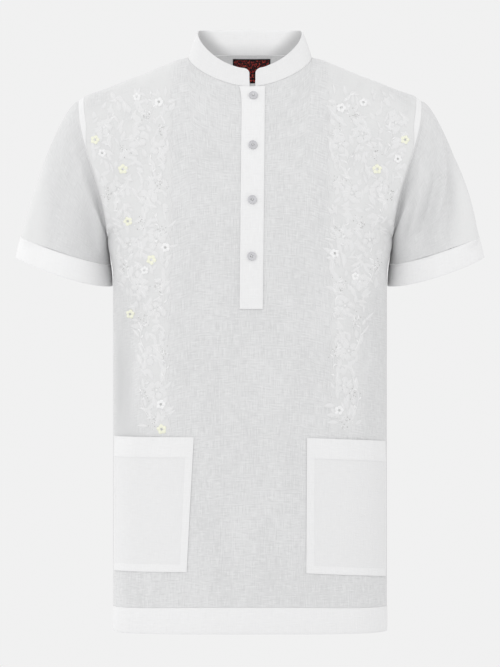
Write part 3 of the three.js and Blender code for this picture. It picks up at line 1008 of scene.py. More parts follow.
@dataclass(frozen=True)
class Drape:
    """The soft folds of the front and back, built into every piece that lies on them."""

    torso: Torso
    front: tuple[Fold, ...] = (
        Fold((-168, -345), (-170, -510), 17, -9.5),
        Fold((-142, -320), (-147, -480), 12, 3.0),
        Fold((-186, -262), (-118, -345), 15, 3.2),
        Fold((-180, -285), (-140, -430), 13, -2.6),
        Fold((174, -410), (177, -545), 12, -5.5),
        Fold((186, -262), (126, -350), 16, 3.0),
        Fold((178, -290), (150, -452), 12, -2.4),
        Fold((-17, -515), (-16, -625), 3.4, -1.9),
        Fold((-60, -560), (-52, -720), 22, 2.2),
        Fold((48, -420), (56, -700), 24, 2.4),
        Fold((-34, -350), (-30, -480), 18, -1.5),
        Fold((122, -330), (116, -480), 20, 1.8),
        Fold((205, -205), (150, -150), 14, -2.2),
        Fold((-205, -205), (-150, -155), 14, -2.2),
        Fold((-150, -70), (-96, -120), 20, 1.8),
        Fold((150, -66), (100, -128), 20, 1.6),
    )
    back: tuple[Fold, ...] = (
        Fold((-186, -262), (-96, -372), 15, 6.4),
        Fold((-182, -292), (-84, -420), 13, -5.0),
        Fold((186, -262), (104, -362), 15, 6.0),
        Fold((180, -296), (92, -424), 13, -4.6),
        Fold((-150, -360), (-136, -640), 16, -6.2),
        Fold((146, -370), (138, -560), 16, -5.6),
        Fold((-112, -420), (-104, -700), 15, 4.6),
        Fold((-64, -330), (-58, -730), 18, -5.0),
        Fold((-18, -300), (-26, -700), 20, 4.8),
        Fold((30, -230), (24, -700), 18, -5.2),
        Fold((84, -340), (76, -720), 18, 5.6),
        Fold((116, -440), (110, -720), 14, -4.4),
        Fold((-120, -60), (-60, -160), 20, 3.6),
        Fold((120, -60), (66, -150), 20, 3.6),
        Fold((-205, -205), (-150, -150), 14, -2.4),
        Fold((205, -205), (150, -150), 14, -2.4),
    )
    ripple: float = 0.55
    broad_ripple: tuple[float, float, float] = (31.0, 150.0, 90.0)
    fine_ripple: tuple[float, float, float] = (13.0, 60.0, 210.0)
    side_fade: float = 0.05
    top_fade: float = 30.0
    step: float = 0.004

    def lift(self, side: Side, share: Array, edge: Array, points: Array) -> Array:
        """How far each point of a panel moves out.

        Args:
            side: Front or back.
            share: Its share of the half width.
            edge: Its side height.
            points: Its place on the plain surface.

        Returns:
            The distance, in millimetres.
        """
        x, z = points[..., 0], points[..., 2]
        folds = self.front if side is Side.FRONT else self.back
        total = sum(fold.lift(x, z) for fold in folds)
        across, up, slant = self.broad_ripple
        total = total + self.ripple * np.sin(x / across + 1.7 * side) * np.sin(z / up + x / slant + side)
        across, up, slant = self.fine_ripple
        total = total + 0.5 * self.ripple * np.sin(x / across + z / slant) * np.sin(z / up + 2.0)
        sides = soft_step(0.0, self.side_fade, 1.0 - np.abs(share))
        top = soft_step(0.0, self.top_fade, self.torso.top_edge(side, share) - edge)
        return total * sides * top

    def cloth(self, side: Side, share: Array, edge: Array, out: Array | float = 0.0) -> Array:
        """Points of the folded cloth, moved out by a distance.

        Args:
            side: Front or back.
            share: Share of the half width of each point of a grid.
            edge: Side height of each point.
            out: Distance off the panel's outer face.

        Returns:
            The grid's points.
        """
        inside = np.clip(share, -1.0 + self.step, 1.0 - self.step)
        here = self.torso.surface(side, share, edge)
        low = self.torso.surface(side, inside - self.step, edge)
        high = self.torso.surface(side, inside + self.step, edge)
        below = self.torso.surface(side, share, edge - 1.0)
        normals = np.cross(high - low, here - below) * -float(side)
        at_side = np.abs(share) > 1.0 - 1e-6
        normals[..., 1] = np.where(at_side, 0.0, normals[..., 1])
        normals /= np.maximum(np.linalg.norm(normals, axis=-1, keepdims=True), TINY)
        distance = self.lift(side, share, edge, here) + out
        return here + normals * np.asarray(distance)[..., None]

    def at(self, side: Side, x: Array, z: Array, out: Array | float) -> Array:
        """Points of the folded cloth over given places, moved out by a distance."""
        return self.cloth(side, *self.torso.locate(side, x, z), out)


@dataclass(frozen=True)
class PaintedHollowShade:
    """Painted shade of a soft hollow beside one side seam, darkening the cloth's colour.

    The shade sets in between the two heights of `above` and, from the hem's side, between those of
    `below`. It is full up to the first distance of `reach` from the seam and gone at the second one,
    weaker at the seam itself by `rim_share`, and leans with the height about `lean_z`.
    """

    depth: float
    above: Span
    below: Span
    reach: Span
    rim: Span = (0.0, 11.0)
    rim_share: float = 1.0
    lean: float = 0.0
    lean_z: float = -400.0

    def shade(self, z: Array, near: Array) -> Array:
        """The share of painted shade at a height and a distance from the side seam.

        Args:
            z: The height.
            near: The distance.

        Returns:
            The share at each point.
        """
        leaning = near + self.lean * (z - self.lean_z)
        rim = mix(self.rim_share, 1.0, soft_step(*self.rim, near))
        beside = (1.0 - soft_step(*self.reach, leaning)) * rim
        return self.depth * soft_step(*self.above, z) * soft_step(*self.below, z) * beside


@dataclass
class Panels:
    """The front, the back and the hem bands that finish them."""

    drape: Drape
    voile: Material
    double: Material
    inside: Material
    seamstress: Seamstress
    neck_columns: int = 18
    side_columns: int = 44
    body_rows: int = 58
    yoke_rows: int = 52
    wall: float = 0.7
    band_wall: float = 1.5
    band_rows: int = 7
    band_lift: float = 0.25
    band_slack: float = 0.5
    seam: float = 0.3
    fell_width: float = 7.0
    fell_bottom: float = -124.0
    fell_lift: float = 0.45
    fell_wall: float = 0.4
    fell_rows: int = 40
    fell_columns: int = 6
    fell_shows: Span = (4.0, 26.0)
    fell_rises: Span = (-222.0, -165.0)
    fell_share: float = 0.9
    # Painted shade beside the side seams, much darker on the wearer's right.
    painted_hollow_shades: dict[Arm, PaintedHollowShade] = field(
        default_factory=lambda: {
            Arm.RIGHT: PaintedHollowShade(1.0, (-290, -420), (-660, -500), (6.0, 42.0), rim_share=0.3, lean=0.09),
            Arm.LEFT: PaintedHollowShade(0.15, (-330, -400), (-900, -800), (2.0, 26.0)),
        }
    )
    pieces: dict[Side, Piece] = field(default_factory=dict)

    def shares(self) -> Array:
        """The columns' shares of the half width, closer together at the neck and the sides.

        Returns:
            The shares from -1 to 1.
        """
        torso = self.drape.torso
        quarter = np.pi / 2 * np.arange(1, self.neck_columns + 1) / self.neck_columns
        neck = torso.neck_share * np.sin(quarter)
        turn = math.asin(torso.neck_share ** (torso.body_power / 2))
        turns = mix(turn, math.pi / 2, np.arange(1, self.side_columns + 1) / self.side_columns)
        half = np.concatenate([neck, np.sin(turns) ** (2 / torso.body_power)])
        half[-1] = 1.0
        return np.concatenate([-half[::-1], [0.0], half])

    def edges(self, side: Side, shares: Array) -> Array:
        """The side height of every point of a panel's grid.

        Args:
            side: Front or back.
            shares: The columns' shares.

        Returns:
            Rows by columns.
        """
        torso = self.drape.torso
        below = 1.0 - np.arange(self.body_rows + 1) / self.body_rows
        body = mix(torso.armpit_z, torso.band_top + self.seam, below**1.3)[:, None] + 0.0 * shares
        rise = (1.0 - np.cos(np.pi * np.arange(1, self.yoke_rows + 1) / self.yoke_rows)) / 2.0
        yoke = mix(torso.armpit_z, torso.top_edge(side, shares)[None, :], rise[:, None])
        return np.concatenate([body, yoke])

    def make(self) -> None:
        """Builds both panels and both hem bands."""
        names = {Side.FRONT: "front", Side.BACK: "back"}
        shares = self.shares()
        for side, name in names.items():
            edges = self.edges(side, shares)
            grid_shares = np.broadcast_to(shares, edges.shape)
            points = self.drape.cloth(side, grid_shares, edges)
            worked_and_painted_light = self.worked_and_painted_light(side, points)
            shell = Shell(f"{name}_cloth", points, self.wall, outward=-float(side), worked_and_painted_light=worked_and_painted_light)
            piece = settle(shell.make(self.voile, self.inside), Slot.VOILE, name)
            fells = [self.make_fell(side, arm) for arm in Arm]
            self.pieces[side] = piece
            self.make_band(side, shares, name)

    def worked_and_painted_light(self, side: Side, points: Array) -> Array:
        """How much whiter or darker the cloth is at each point.

        Needlework or a fell behind it makes it whiter, and painted shade beside the side seams makes it
        darker.

        Args:
            side: Front or back.
            points: The panel's grid.

        Returns:
            A share from -1 in full painted shade to 1 where it is whitest.
        """
        x, z = points[..., 0], points[..., 2]
        near = self.drape.torso.half_width(z) - np.abs(x)
        fell = (1.0 - soft_step(*self.fell_shows, near)) * soft_step(*self.fell_rises, z)
        needlework = EmbroideredBand().cover(x, z) if side is Side.FRONT else 0.0 * x
        whiter = np.clip(needlework + self.fell_share * fell, 0.0, 1.0)
        # Painted shade beside the side seams darkens the cloth's colour.
        right, left = (self.painted_hollow_shades[arm].shade(z, near) for arm in Arm)
        return whiter - np.where(x < 0.0, right, left)

    def make_fell(self, side: Side, arm: Arm) -> Piece:
        """Builds the narrow felled strip beside one half of an armhole.

        Args:
            side: Front or back.
            arm: Which armhole.

        Returns:
            The strip.
        """
        torso = self.drape.torso
        rise = np.linspace(0.0, 1.0, self.fell_rows)
        height = mix(self.fell_bottom, torso.tip_z - self.seam, rise)
        edge = height[:, None] + np.zeros((1, self.fell_columns))
        width = mix(0.6, self.fell_width, soft_step(0.0, 0.5, rise))[:, None]
        inwards = np.linspace(0.0, 1.0, self.fell_columns)[None, :]
        share = arm * (1.0 - inwards * width / torso.half_width(edge))
        points = self.drape.cloth(side, share, edge, self.fell_lift)
        name = f"armhole_fell_{side.name.lower()}_{arm.word}"
        shell = Shell(name, points, self.fell_wall, outward=float(arm * side))
        return settle(shell.make(self.double), Slot.DOUBLE)

    def make_band(self, side: Side, shares: Array, name: str) -> None:
        """Builds the hem band of one panel, a little slack between its edges.

        Args:
            side: Front or back.
            shares: The columns' shares.
            name: The panel's name.
        """
        torso = self.drape.torso
        rise = np.arange(self.band_rows + 1) / self.band_rows
        edges = mix(torso.hem_z, torso.band_top, rise)[:, None] + 0.0 * shares[None, :]
        out = self.band_lift + self.band_slack * np.sin(np.pi * rise)[:, None] + 0.0 * edges
        points = self.drape.cloth(side, np.broadcast_to(shares, edges.shape), edges, out)
        shell = Shell(f"hem_band_{name}_cloth", points, self.band_wall, outward=-float(side), rounded=0.45)
        piece = settle(shell.make(self.double), Slot.DOUBLE, f"hem_band_{name}")
        self.seamstress.sew(shell, (Edge.HIGH,))


# ---- The sleeves ----


@dataclass(frozen=True)
class Ring:
    """A slanting round at the end of a sleeve or cuff."""

    inner_x: float
    inner_z: float
    outer_x: float
    outer_z: float
    half_depth: float
    bend: float


@dataclass
class Sleeves:
    """Two short set-in sleeves with turned bands."""

    torso: Torso
    voile: Material
    double: Material
    seamstress: Seamstress
    # Painted light on the cuffs' outer parts, stronger on the wearer's right.
    cuff_painted_shine: dict[Arm, float] = field(default_factory=lambda: {Arm.RIGHT: 0.45, Arm.LEFT: 0.12})
    cuff_painted_shine_from: Span = (188.0, 225.0)
    end: Ring = Ring(189.8, -277.5, 312.5, -239.0, 59.0, 1.12)
    cuff: Ring = Ring(187.7, -307.0, 319.5, -267.5, 60.0, 1.35)
    set_back: float = 15.0
    front_drop: float = 4.5
    cap_bulge: float = 30.0
    cap_rise: float = 0.4
    cap_fall: float = 0.95
    gap: float = -0.3
    # Painted light whitens each sleeve's outer part, more towards its lower end.
    painted_shine: float = 0.95
    painted_shine_from: Span = (262.0, 288.0)
    painted_shine_falls: Span = (-90.0, -190.0)
    ditch_depth: float = 9.3
    ditch_width: float = 0.21
    ditch_starts: Span = (20.0, 60.0)
    ditch_turns: Span = (70.0, 115.0)
    ditch_stops: Span = (122.0, 150.0)
    ditch_lip: Span = (0.012, 0.02)
    high_depth: float = 0.42
    high_width: float = 0.45
    fold_turns: Span = (25.0, 50.0)
    fold_start: float = 22.0
    columns: int = 112
    rows: int = 56
    band_rows: int = 9
    band_lift: float = 0.25
    band_slack: float = 0.4
    wall: float = 0.7
    band_wall: float = 1.5
    folds: dict[Arm, tuple[Fold, ...]] = field(
        default_factory=lambda: {
            Arm.RIGHT: (
                Fold((-126, 0.10), (-108, 0.46), 10, 3.6),
                Fold((-70, 0.20), (-48, 0.85), 15, -4.0),
                Fold((-150, 0.45), (-136, 1.2), 18, 5.0),
                Fold((-112, 0.50), (-104, 1.2), 15, -4.4),
                Fold((66, 0.20), (80, 1.1), 16, 4.4),
                Fold((120, 0.15), (130, 1.1), 16, -3.8),
            ),
            Arm.LEFT: (
                Fold((-146, 0.20), (-86, 0.76), 5.5, 7.6),
                Fold((-122, 0.28), (-70, 0.72), 8, -7.4),
                Fold((-97, 0.16), (-58, 0.62), 8, 6.4),
                Fold((-138, 0.40), (-108, 1.05), 9, -9.0),
                Fold((-158, 0.36), (-140, 1.25), 13, 8.0),
                Fold((-84, 0.62), (-72, 1.1), 14, -4.4),
                Fold((70, 0.2), (84, 1.1), 15, 4.6),
                Fold((118, 0.15), (128, 1.1), 16, -4.0),
            ),
        }
    )

    def turns(self) -> Array:
        """Each column's turn in degrees: front negative, 0 at the armpit, 180 at the top."""
        return np.linspace(-180.0, 180.0, self.columns, endpoint=False)

    def ring_points(self, arm: Arm, ring: Ring, turns: Array) -> Array:
        """Points of a slanting ring.

        Args:
            arm: Which sleeve.
            ring: Its ends.
            turns: The turn of each point.

        Returns:
            The points.
        """
        angle = np.radians(turns)
        out = (1.0 - np.cos(angle)) / 2.0
        swing = np.sin(angle)
        return np.stack(
            [
                arm * mix(ring.inner_x, ring.outer_x, out),
                self.set_back + swing * ring.half_depth,
                mix(ring.inner_z, ring.outer_z, out**ring.bend) + swing * self.front_drop,
            ],
            axis=-1,
        )

    def seam_points(self, arm: Arm, turns: Array) -> Array:
        """Points of the armhole seam.

        Args:
            arm: Which sleeve.
            turns: The turn of each point.

        Returns:
            The points.
        """
        torso = self.torso
        angle = np.radians(np.abs(turns))
        edge = mix(torso.armpit_z, torso.tip_z, (1.0 - np.cos(angle)) / 2.0)
        swing = np.sin(np.radians(turns))
        x = torso.half_width(np.maximum(edge, torso.armpit_z + 1e-6)) + self.gap
        return np.stack([arm * x, swing * (torso.armhole_depth + torso.seam), edge], axis=-1)

    def points(self, arm: Arm, along: Array) -> Array:
        """The sleeve's grid, from the armhole at 0 to its end at 1 and its cuff at 2.

        Args:
            arm: Which sleeve.
            along: The rows' places.

        Returns:
            Rows by columns by three.
        """
        turns = self.turns()
        seam = self.seam_points(arm, turns)
        end = self.ring_points(arm, self.end, turns)
        cuff = self.ring_points(arm, self.cuff, turns)
        out = (1.0 - np.cos(np.radians(turns))) / 2.0
        rows = []
        for t in along:
            if t <= 1.0:
                row = mix(seam, end, t)
                row[:, 0] += arm * self.cap_bulge * t**self.cap_rise * (1.0 - t) ** self.cap_fall * out
            else:
                row = mix(end, cuff, t - 1.0)
            rows.append(row)
        grid = np.array(rows)
        out = self.lift(arm, turns, along) - self.ditch(turns, along)
        return grid + self.normals(arm, grid) * out[..., None]

    def normals(self, arm: Arm, grid: Array) -> Array:
        """Outward normals of a sleeve's grid."""
        return grid_normals(grid, wrap=True) * float(arm)

    def ditch(self, turns: Array, along: Array) -> Array:
        """How far the cloth dips beside the armhole seam, below the shoulder.

        Args:
            turns: The columns' turns.
            along: The rows' places.

        Returns:
            Rows by columns.
        """
        across, up = np.meshgrid(np.abs(turns), along)
        higher = soft_step(*self.ditch_turns, across)
        width = mix(self.ditch_width, self.high_width * self.ditch_width, higher)
        lip, floor = self.ditch_lip
        beside = soft_step(0.0, lip, up) * (1.0 - soft_step(floor, 1.0, (up - floor) / (width - floor)))
        depth = self.ditch_depth * mix(1.0, self.high_depth, higher)
        stops = 1.0 - soft_step(*self.ditch_stops, across)
        return depth * beside * soft_step(*self.ditch_starts, across) * stops

    def lift(self, arm: Arm, turns: Array, along: Array) -> Array:
        """How far the sleeve's folds move it out.

        Args:
            arm: Which sleeve.
            turns: The columns' turns.
            along: The rows' places.

        Returns:
            Rows by columns.
        """
        scale = 100.0
        across, up = np.meshgrid(turns, along * scale)
        total = np.zeros_like(across)
        for fold in self.folds[arm]:
            start, end = ((turn, place * scale) for turn, place in (fold.start, fold.end))
            total = total + Fold(start, end, fold.half_width, fold.height).lift(across, up)
        away_from_body = soft_step(*self.fold_turns, np.abs(across))
        return total * away_from_body * soft_step(0.0, self.fold_start, up)

    def make(self) -> None:
        """Builds both sleeves and both bands."""
        for arm in Arm:
            along = np.linspace(0.0, 1.0, self.rows) ** 1.6
            points = self.points(arm, along)
            # Painted light: the outer part of each sleeve is whiter.
            outer = soft_step(*self.painted_shine_from, np.abs(points[..., 0]))
            painted_lit = self.painted_shine * outer * soft_step(*self.painted_shine_falls, points[..., 2])
            shell = Shell(f"sleeve_{arm.word}_cloth", points, self.wall, True, float(arm), worked_and_painted_light=painted_lit)
            sleeve = settle(shell.make(self.voile), Slot.VOILE, f"sleeve_{arm.word}")
            band = self.points(arm, np.linspace(1.01, 2.0, self.band_rows))
            slack = self.band_slack * np.sin(np.pi * np.linspace(0.0, 1.0, self.band_rows))
            band = band + self.normals(arm, band) * (self.band_lift + slack)[:, None, None]
            # Painted light on the cuff's outer part, stronger on the right arm.
            painted_lit = self.cuff_painted_shine[arm] * soft_step(*self.cuff_painted_shine_from, np.abs(band[..., 0]))
            name = f"sleeve_band_{arm.word}_cloth"
            shell = Shell(name, band, self.band_wall, True, float(arm), rounded=0.45, worked_and_painted_light=painted_lit)
            cuff = settle(shell.make(self.double), Slot.DOUBLE, f"sleeve_band_{arm.word}")
            self.seamstress.sew(shell, (Edge.LOW,))


# ---- Collar, placket, pockets and label ----


@dataclass
class Collar:
    """A band collar, open at the front, its front corners rounded."""

    drape: Drape
    double: Material
    lining: Material
    seamstress: Seamstress
    rim_half: float = 72.0
    rim_front: float = 58.0
    rim_back: float = 48.0
    rim_front_z: float = -16.0
    side_rise: float = 58.0
    back_rise: float = 6.5
    rise_angle: float = 110.0
    ends: Span = (-0.8, 7.3)
    corner: float = 8.0
    corner_columns: tuple[float, ...] = (0.2, 0.6, 1.2, 2.2, 3.6, 5.4)
    rim_from: Span = (1.0, 3.0)
    lift: float = 0.4
    bow: float = 0.8
    passes: int = 6
    rows: int = 14
    columns: int = 150
    wall: float = 1.8

    def turns(self) -> tuple[Array, Array]:
        """Turns round the neck from the wearer's left front end to the right one.

        Returns:
            Each column's turn from the front centre, and its distance from the nearer end.
        """
        neck = self.drape.torso.neck_half
        left, right = (math.asin(abs(x) / neck) for x in (self.ends[1], self.ends[0]))
        turns = np.linspace(left, 2 * math.pi - right, self.columns)
        corner = np.array(self.corner_columns) / neck
        turns = np.unique(np.concatenate([turns, left + corner, 2 * math.pi - right - corner]))
        nearer = np.minimum(turns - left, 2 * math.pi - right - turns) * neck
        return turns, nearer

    def make(self) -> None:
        """Builds the collar, from its foot on the neckline to its rim."""
        torso = self.drape.torso
        turns, nearer = self.turns()
        at_front = np.cos(turns) > 0
        x = torso.neck_half * np.sin(turns)
        share = np.clip(x / torso.shoulder_half, -torso.neck_share, torso.neck_share)
        for _ in range(self.passes):
            front_edge = torso.top_edge(Side.FRONT, share)
            back_edge = torso.top_edge(Side.BACK, share)
            edge = np.where(at_front, front_edge, back_edge)
            share = np.clip(x / torso.half_width(edge), -torso.neck_share, torso.neck_share)
        front = torso.surface(Side.FRONT, share, front_edge)
        back = torso.surface(Side.BACK, share, back_edge)
        foot = np.where(at_front[:, None], front, back) + np.array([0.0, 0.0, self.lift])
        angle = np.minimum(turns, 2 * math.pi - turns)
        climb = np.sin(np.minimum(angle, math.radians(self.rise_angle)) * 90 / self.rise_angle) ** 2
        crown = self.back_rise * np.maximum(0.0, angle / math.radians(self.rise_angle) - 1.0)
        depth = np.where(at_front, self.rim_front, self.rim_back)
        near_front = np.clip(nearer / self.corner, 0.0, 1.0)
        rim_x = mix(x, self.rim_half * np.sin(turns), soft_step(*self.rim_from, nearer / self.corner))
        rim_z = self.rim_front_z + self.side_rise * climb + crown
        rim = np.stack([rim_x, -depth * np.cos(turns), rim_z], axis=-1)
        height = np.linalg.norm(rim - foot, axis=1)
        short = self.corner * (1.0 - near_front)
        share_up = 1.0 - (self.corner - np.sqrt(self.corner**2 - short**2)) / height
        rise = np.linspace(0.0, 1.0, self.rows)
        points = foot[None] + (rim - foot)[None] * (rise[:, None] * share_up[None, :])[..., None]
        points = points + grid_normals(points) * (self.bow * np.sin(np.pi * rise)[:, None, None])
        shell = Shell("collar_cloth", points, self.wall, rounded=0.5)
        piece = settle(shell.make(self.double, self.lining), Slot.DOUBLE, "collar")
        self.seamstress.sew(shell, (Edge.LOW, Edge.HIGH))


@dataclass
class Placket:
    """The buttoned strip down the chest and the strip under it."""

    drape: Drape
    double: Material
    seamstress: Seamstress
    width: float = 31.0
    top_x: float = 4.6
    bottom_x: float = 1.6
    bottom_z: float = -340.0
    wall: float = 1.2
    lift: float = 1.5
    under_lift: float = -1.1
    flare: float = 3.6
    flare_height: float = 9.0
    neck_gap: float = 0.35
    pillow: float = 0.35
    under_short: float = 6.0
    stitched: tuple[Edge, ...] = (Edge.START, Edge.END, Edge.LOW, Edge.LOW)
    stitch_insets: tuple[float, ...] = (2.0, 2.0, 2.0, 12.0)
    columns: int = 14
    rows: int = 90

    def middle(self, z: Array | float) -> Array | float:
        """The x of the strip's centre line at a height.

        Args:
            z: The height.

        Returns:
            The x.
        """
        torso = self.drape.torso
        share = np.clip((torso.front_neck_z - z) / (torso.front_neck_z - self.bottom_z), 0.0, 1.0)
        return mix(self.top_x, self.bottom_x, share)

    def grid(self, bottom_z: float, out: float) -> Array:
        """Points of a strip over the front.

        Args:
            bottom_z: Height of its lower end.
            out: Distance of its outer face off the panel.

        Returns:
            Rows by columns by three.
        """
        torso = self.drape.torso
        across = np.linspace(-0.5, 0.5, self.columns + 1)[None, :]
        rise = np.linspace(0.0, 1.0, self.rows + 1)[:, None]
        z = mix(bottom_z, torso.front_neck_z + self.neck_gap, rise) + 0.0 * across
        x = self.middle(z) + across * self.width
        flare = self.flare * np.exp((z - torso.front_neck_z) / self.flare_height)
        x = x - flare * np.maximum(0.0, -2.0 * across)
        z = np.minimum(z, torso.neckline(Side.FRONT, x) - self.neck_gap)
        pillow = self.pillow * (1.0 - (2.0 * across) ** 6)
        return self.drape.at(Side.FRONT, x, z, out + pillow + 0.0 * z)

    def make(self) -> None:
        """Builds both strips."""
        for name, bottom, out in (
            ("placket", self.bottom_z, self.lift),
            ("placket_under", self.bottom_z + self.under_short, self.under_lift),
        ):
            shell = Shell(f"{name}_cloth", self.grid(bottom, out), self.wall, rounded=0.35)
            piece = settle(shell.make(self.double), Slot.DOUBLE, name)
            if name == "placket":
                self.seamstress.sew(shell, self.stitched, self.stitch_insets)


@dataclass(frozen=True)
class PocketCut:
    """Where one pocket's corners lie on the front."""

    name: str
    arm: Arm
    inner_top: Place
    outer_top: Place
    inner_bottom: Place
    outer_bottom: Place


@dataclass
class Pockets:
    """Two patch pockets, each with a turned hem and turned-in edges that show whiter."""

    drape: Drape
    single: Material
    double: Material
    seamstress: Seamstress
    hem: float = 27.0
    turned: float = 10.0
    side_turned: float = 8.5
    mean_width: float = 147.0
    wall: float = 0.7
    lift: float = 1.05
    hem_lift: float = 0.55
    turned_lift: float = 0.25
    slack: float = 1.6
    slack_power: float = 1.5
    columns: int = 40
    rows: int = 48
    cuts: tuple[PocketCut, ...] = (
        PocketCut("pocket_right", Arm.RIGHT, (74, -509), (182, -510), (83.5, -687.5), (182, -690.5)),
        PocketCut("pocket_left", Arm.LEFT, (75, -510), (182, -517), (74, -689), (182, -699)),
    )

    def places(self, cut: PocketCut, across: Array, up: Array) -> tuple[Array, Array]:
        """Panel places of a pocket's grid, evenly spaced round the body.

        Args:
            cut: The pocket.
            across: From 0 at the inner edge to 1 at the outer one.
            up: From 0 at the bottom to 1 at the top.

        Returns:
            The share and the side height of each point.
        """
        across, up = np.meshgrid(across, up)
        half = self.drape.torso.hip_half
        power = self.drape.torso.body_power / 2
        inner = mix(cut.inner_bottom[0], cut.inner_top[0], up)
        outer = mix(cut.outer_bottom[0], cut.outer_top[0], up)
        turn = mix(np.arcsin((inner / half) ** power), np.arcsin((outer / half) ** power), across)
        x = half * np.sin(turn) ** (1 / power)
        bottom = mix(cut.inner_bottom[1], cut.outer_bottom[1], across)
        z = mix(bottom, mix(cut.inner_top[1], cut.outer_top[1], across), up)
        return self.drape.torso.locate(Side.FRONT, cut.arm * x, z)

    def strip(self, cut: PocketCut, name: str, across: Place, up: Place, out: float) -> Shell:
        """A part of a pocket as a shell.

        Args:
            cut: The pocket.
            name: The shell's name.
            across: Its range across the pocket.
            up: Its range up the pocket.
            out: Distance of its face off the panel.

        Returns:
            The shell.
        """
        columns = np.linspace(*across, max(3, round(self.columns * (across[1] - across[0]))) + 1)
        rows = np.linspace(*up, max(3, round(self.rows * (up[1] - up[0]))) + 1)
        share, edge = self.places(cut, columns, rows)
        slack = self.slack * np.sin(np.pi * columns)[None, :]
        slack = slack * soft_step(0.0, 1.0, rows)[:, None] ** self.slack_power
        points = self.drape.cloth(Side.FRONT, share, edge, out + slack)
        return Shell(name, points, self.wall, outward=float(cut.arm))

    def make(self) -> None:
        """Builds both pockets, each with its hem and its turned edges."""
        for cut in self.cuts:
            height = cut.inner_top[1] - cut.inner_bottom[1]
            hem = 1.0 - self.hem / height
            side, foot = self.side_turned / self.mean_width, self.turned / height
            body = self.strip(cut, f"{cut.name}_cloth", (0.0, 1.0), (0.0, 1.0), self.lift).make(self.single)
            parts = (
                ("hem", (0.0, 1.0), (hem, 1.0), self.hem_lift, (Edge.START, Edge.END, Edge.LOW)),
                ("inner_edge", (0.0, side), (0.0, hem), self.turned_lift, (Edge.START,)),
                ("outer_edge", (1.0 - side, 1.0), (0.0, hem), self.turned_lift, (Edge.END,)),
                ("bottom_edge", (side, 1.0 - side), (0.0, foot), self.turned_lift, (Edge.LOW,)),
            )
            settle(body, Slot.DOUBLE, cut.name)
            for part, across, up, extra, sewn in parts:
                shell = self.strip(cut, f"{cut.name}_{part}", across, up, self.lift + extra)
                settle(shell.make(self.double), Slot.DOUBLE)
                self.seamstress.sew(shell, sewn)


@dataclass
class Label:
    """A small woven label inside the back neck."""

    drape: Drape
    satin: Material
    width: float = 52.0
    shift: float = 2.2
    top_z: float = 6.5
    bottom_z: float = -25.0
    sink: float = 1.5
    wall: float = 0.5
    columns: int = 27
    rows: int = 17

    def make(self) -> None:
        """Builds the label."""
        across = np.linspace(-0.5, 0.5, self.columns) * self.width + self.shift
        x, z = np.meshgrid(across, np.linspace(self.bottom_z, self.top_z, self.rows))
        points = self.drape.at(Side.BACK, x, z, -self.sink + 0.0 * z)
        height = self.top_z - self.bottom_z
        u = np.linspace(0.0, self.width * MM, self.columns)
        v = np.linspace(0.0, height * MM, self.rows)
        shell = Shell("label_cloth", points, self.wall, coordinates=np.stack(np.meshgrid(u, v), axis=2))
        piece = settle(shell.make(self.satin), Slot.LABEL, "label")


# ---- Buttons ----


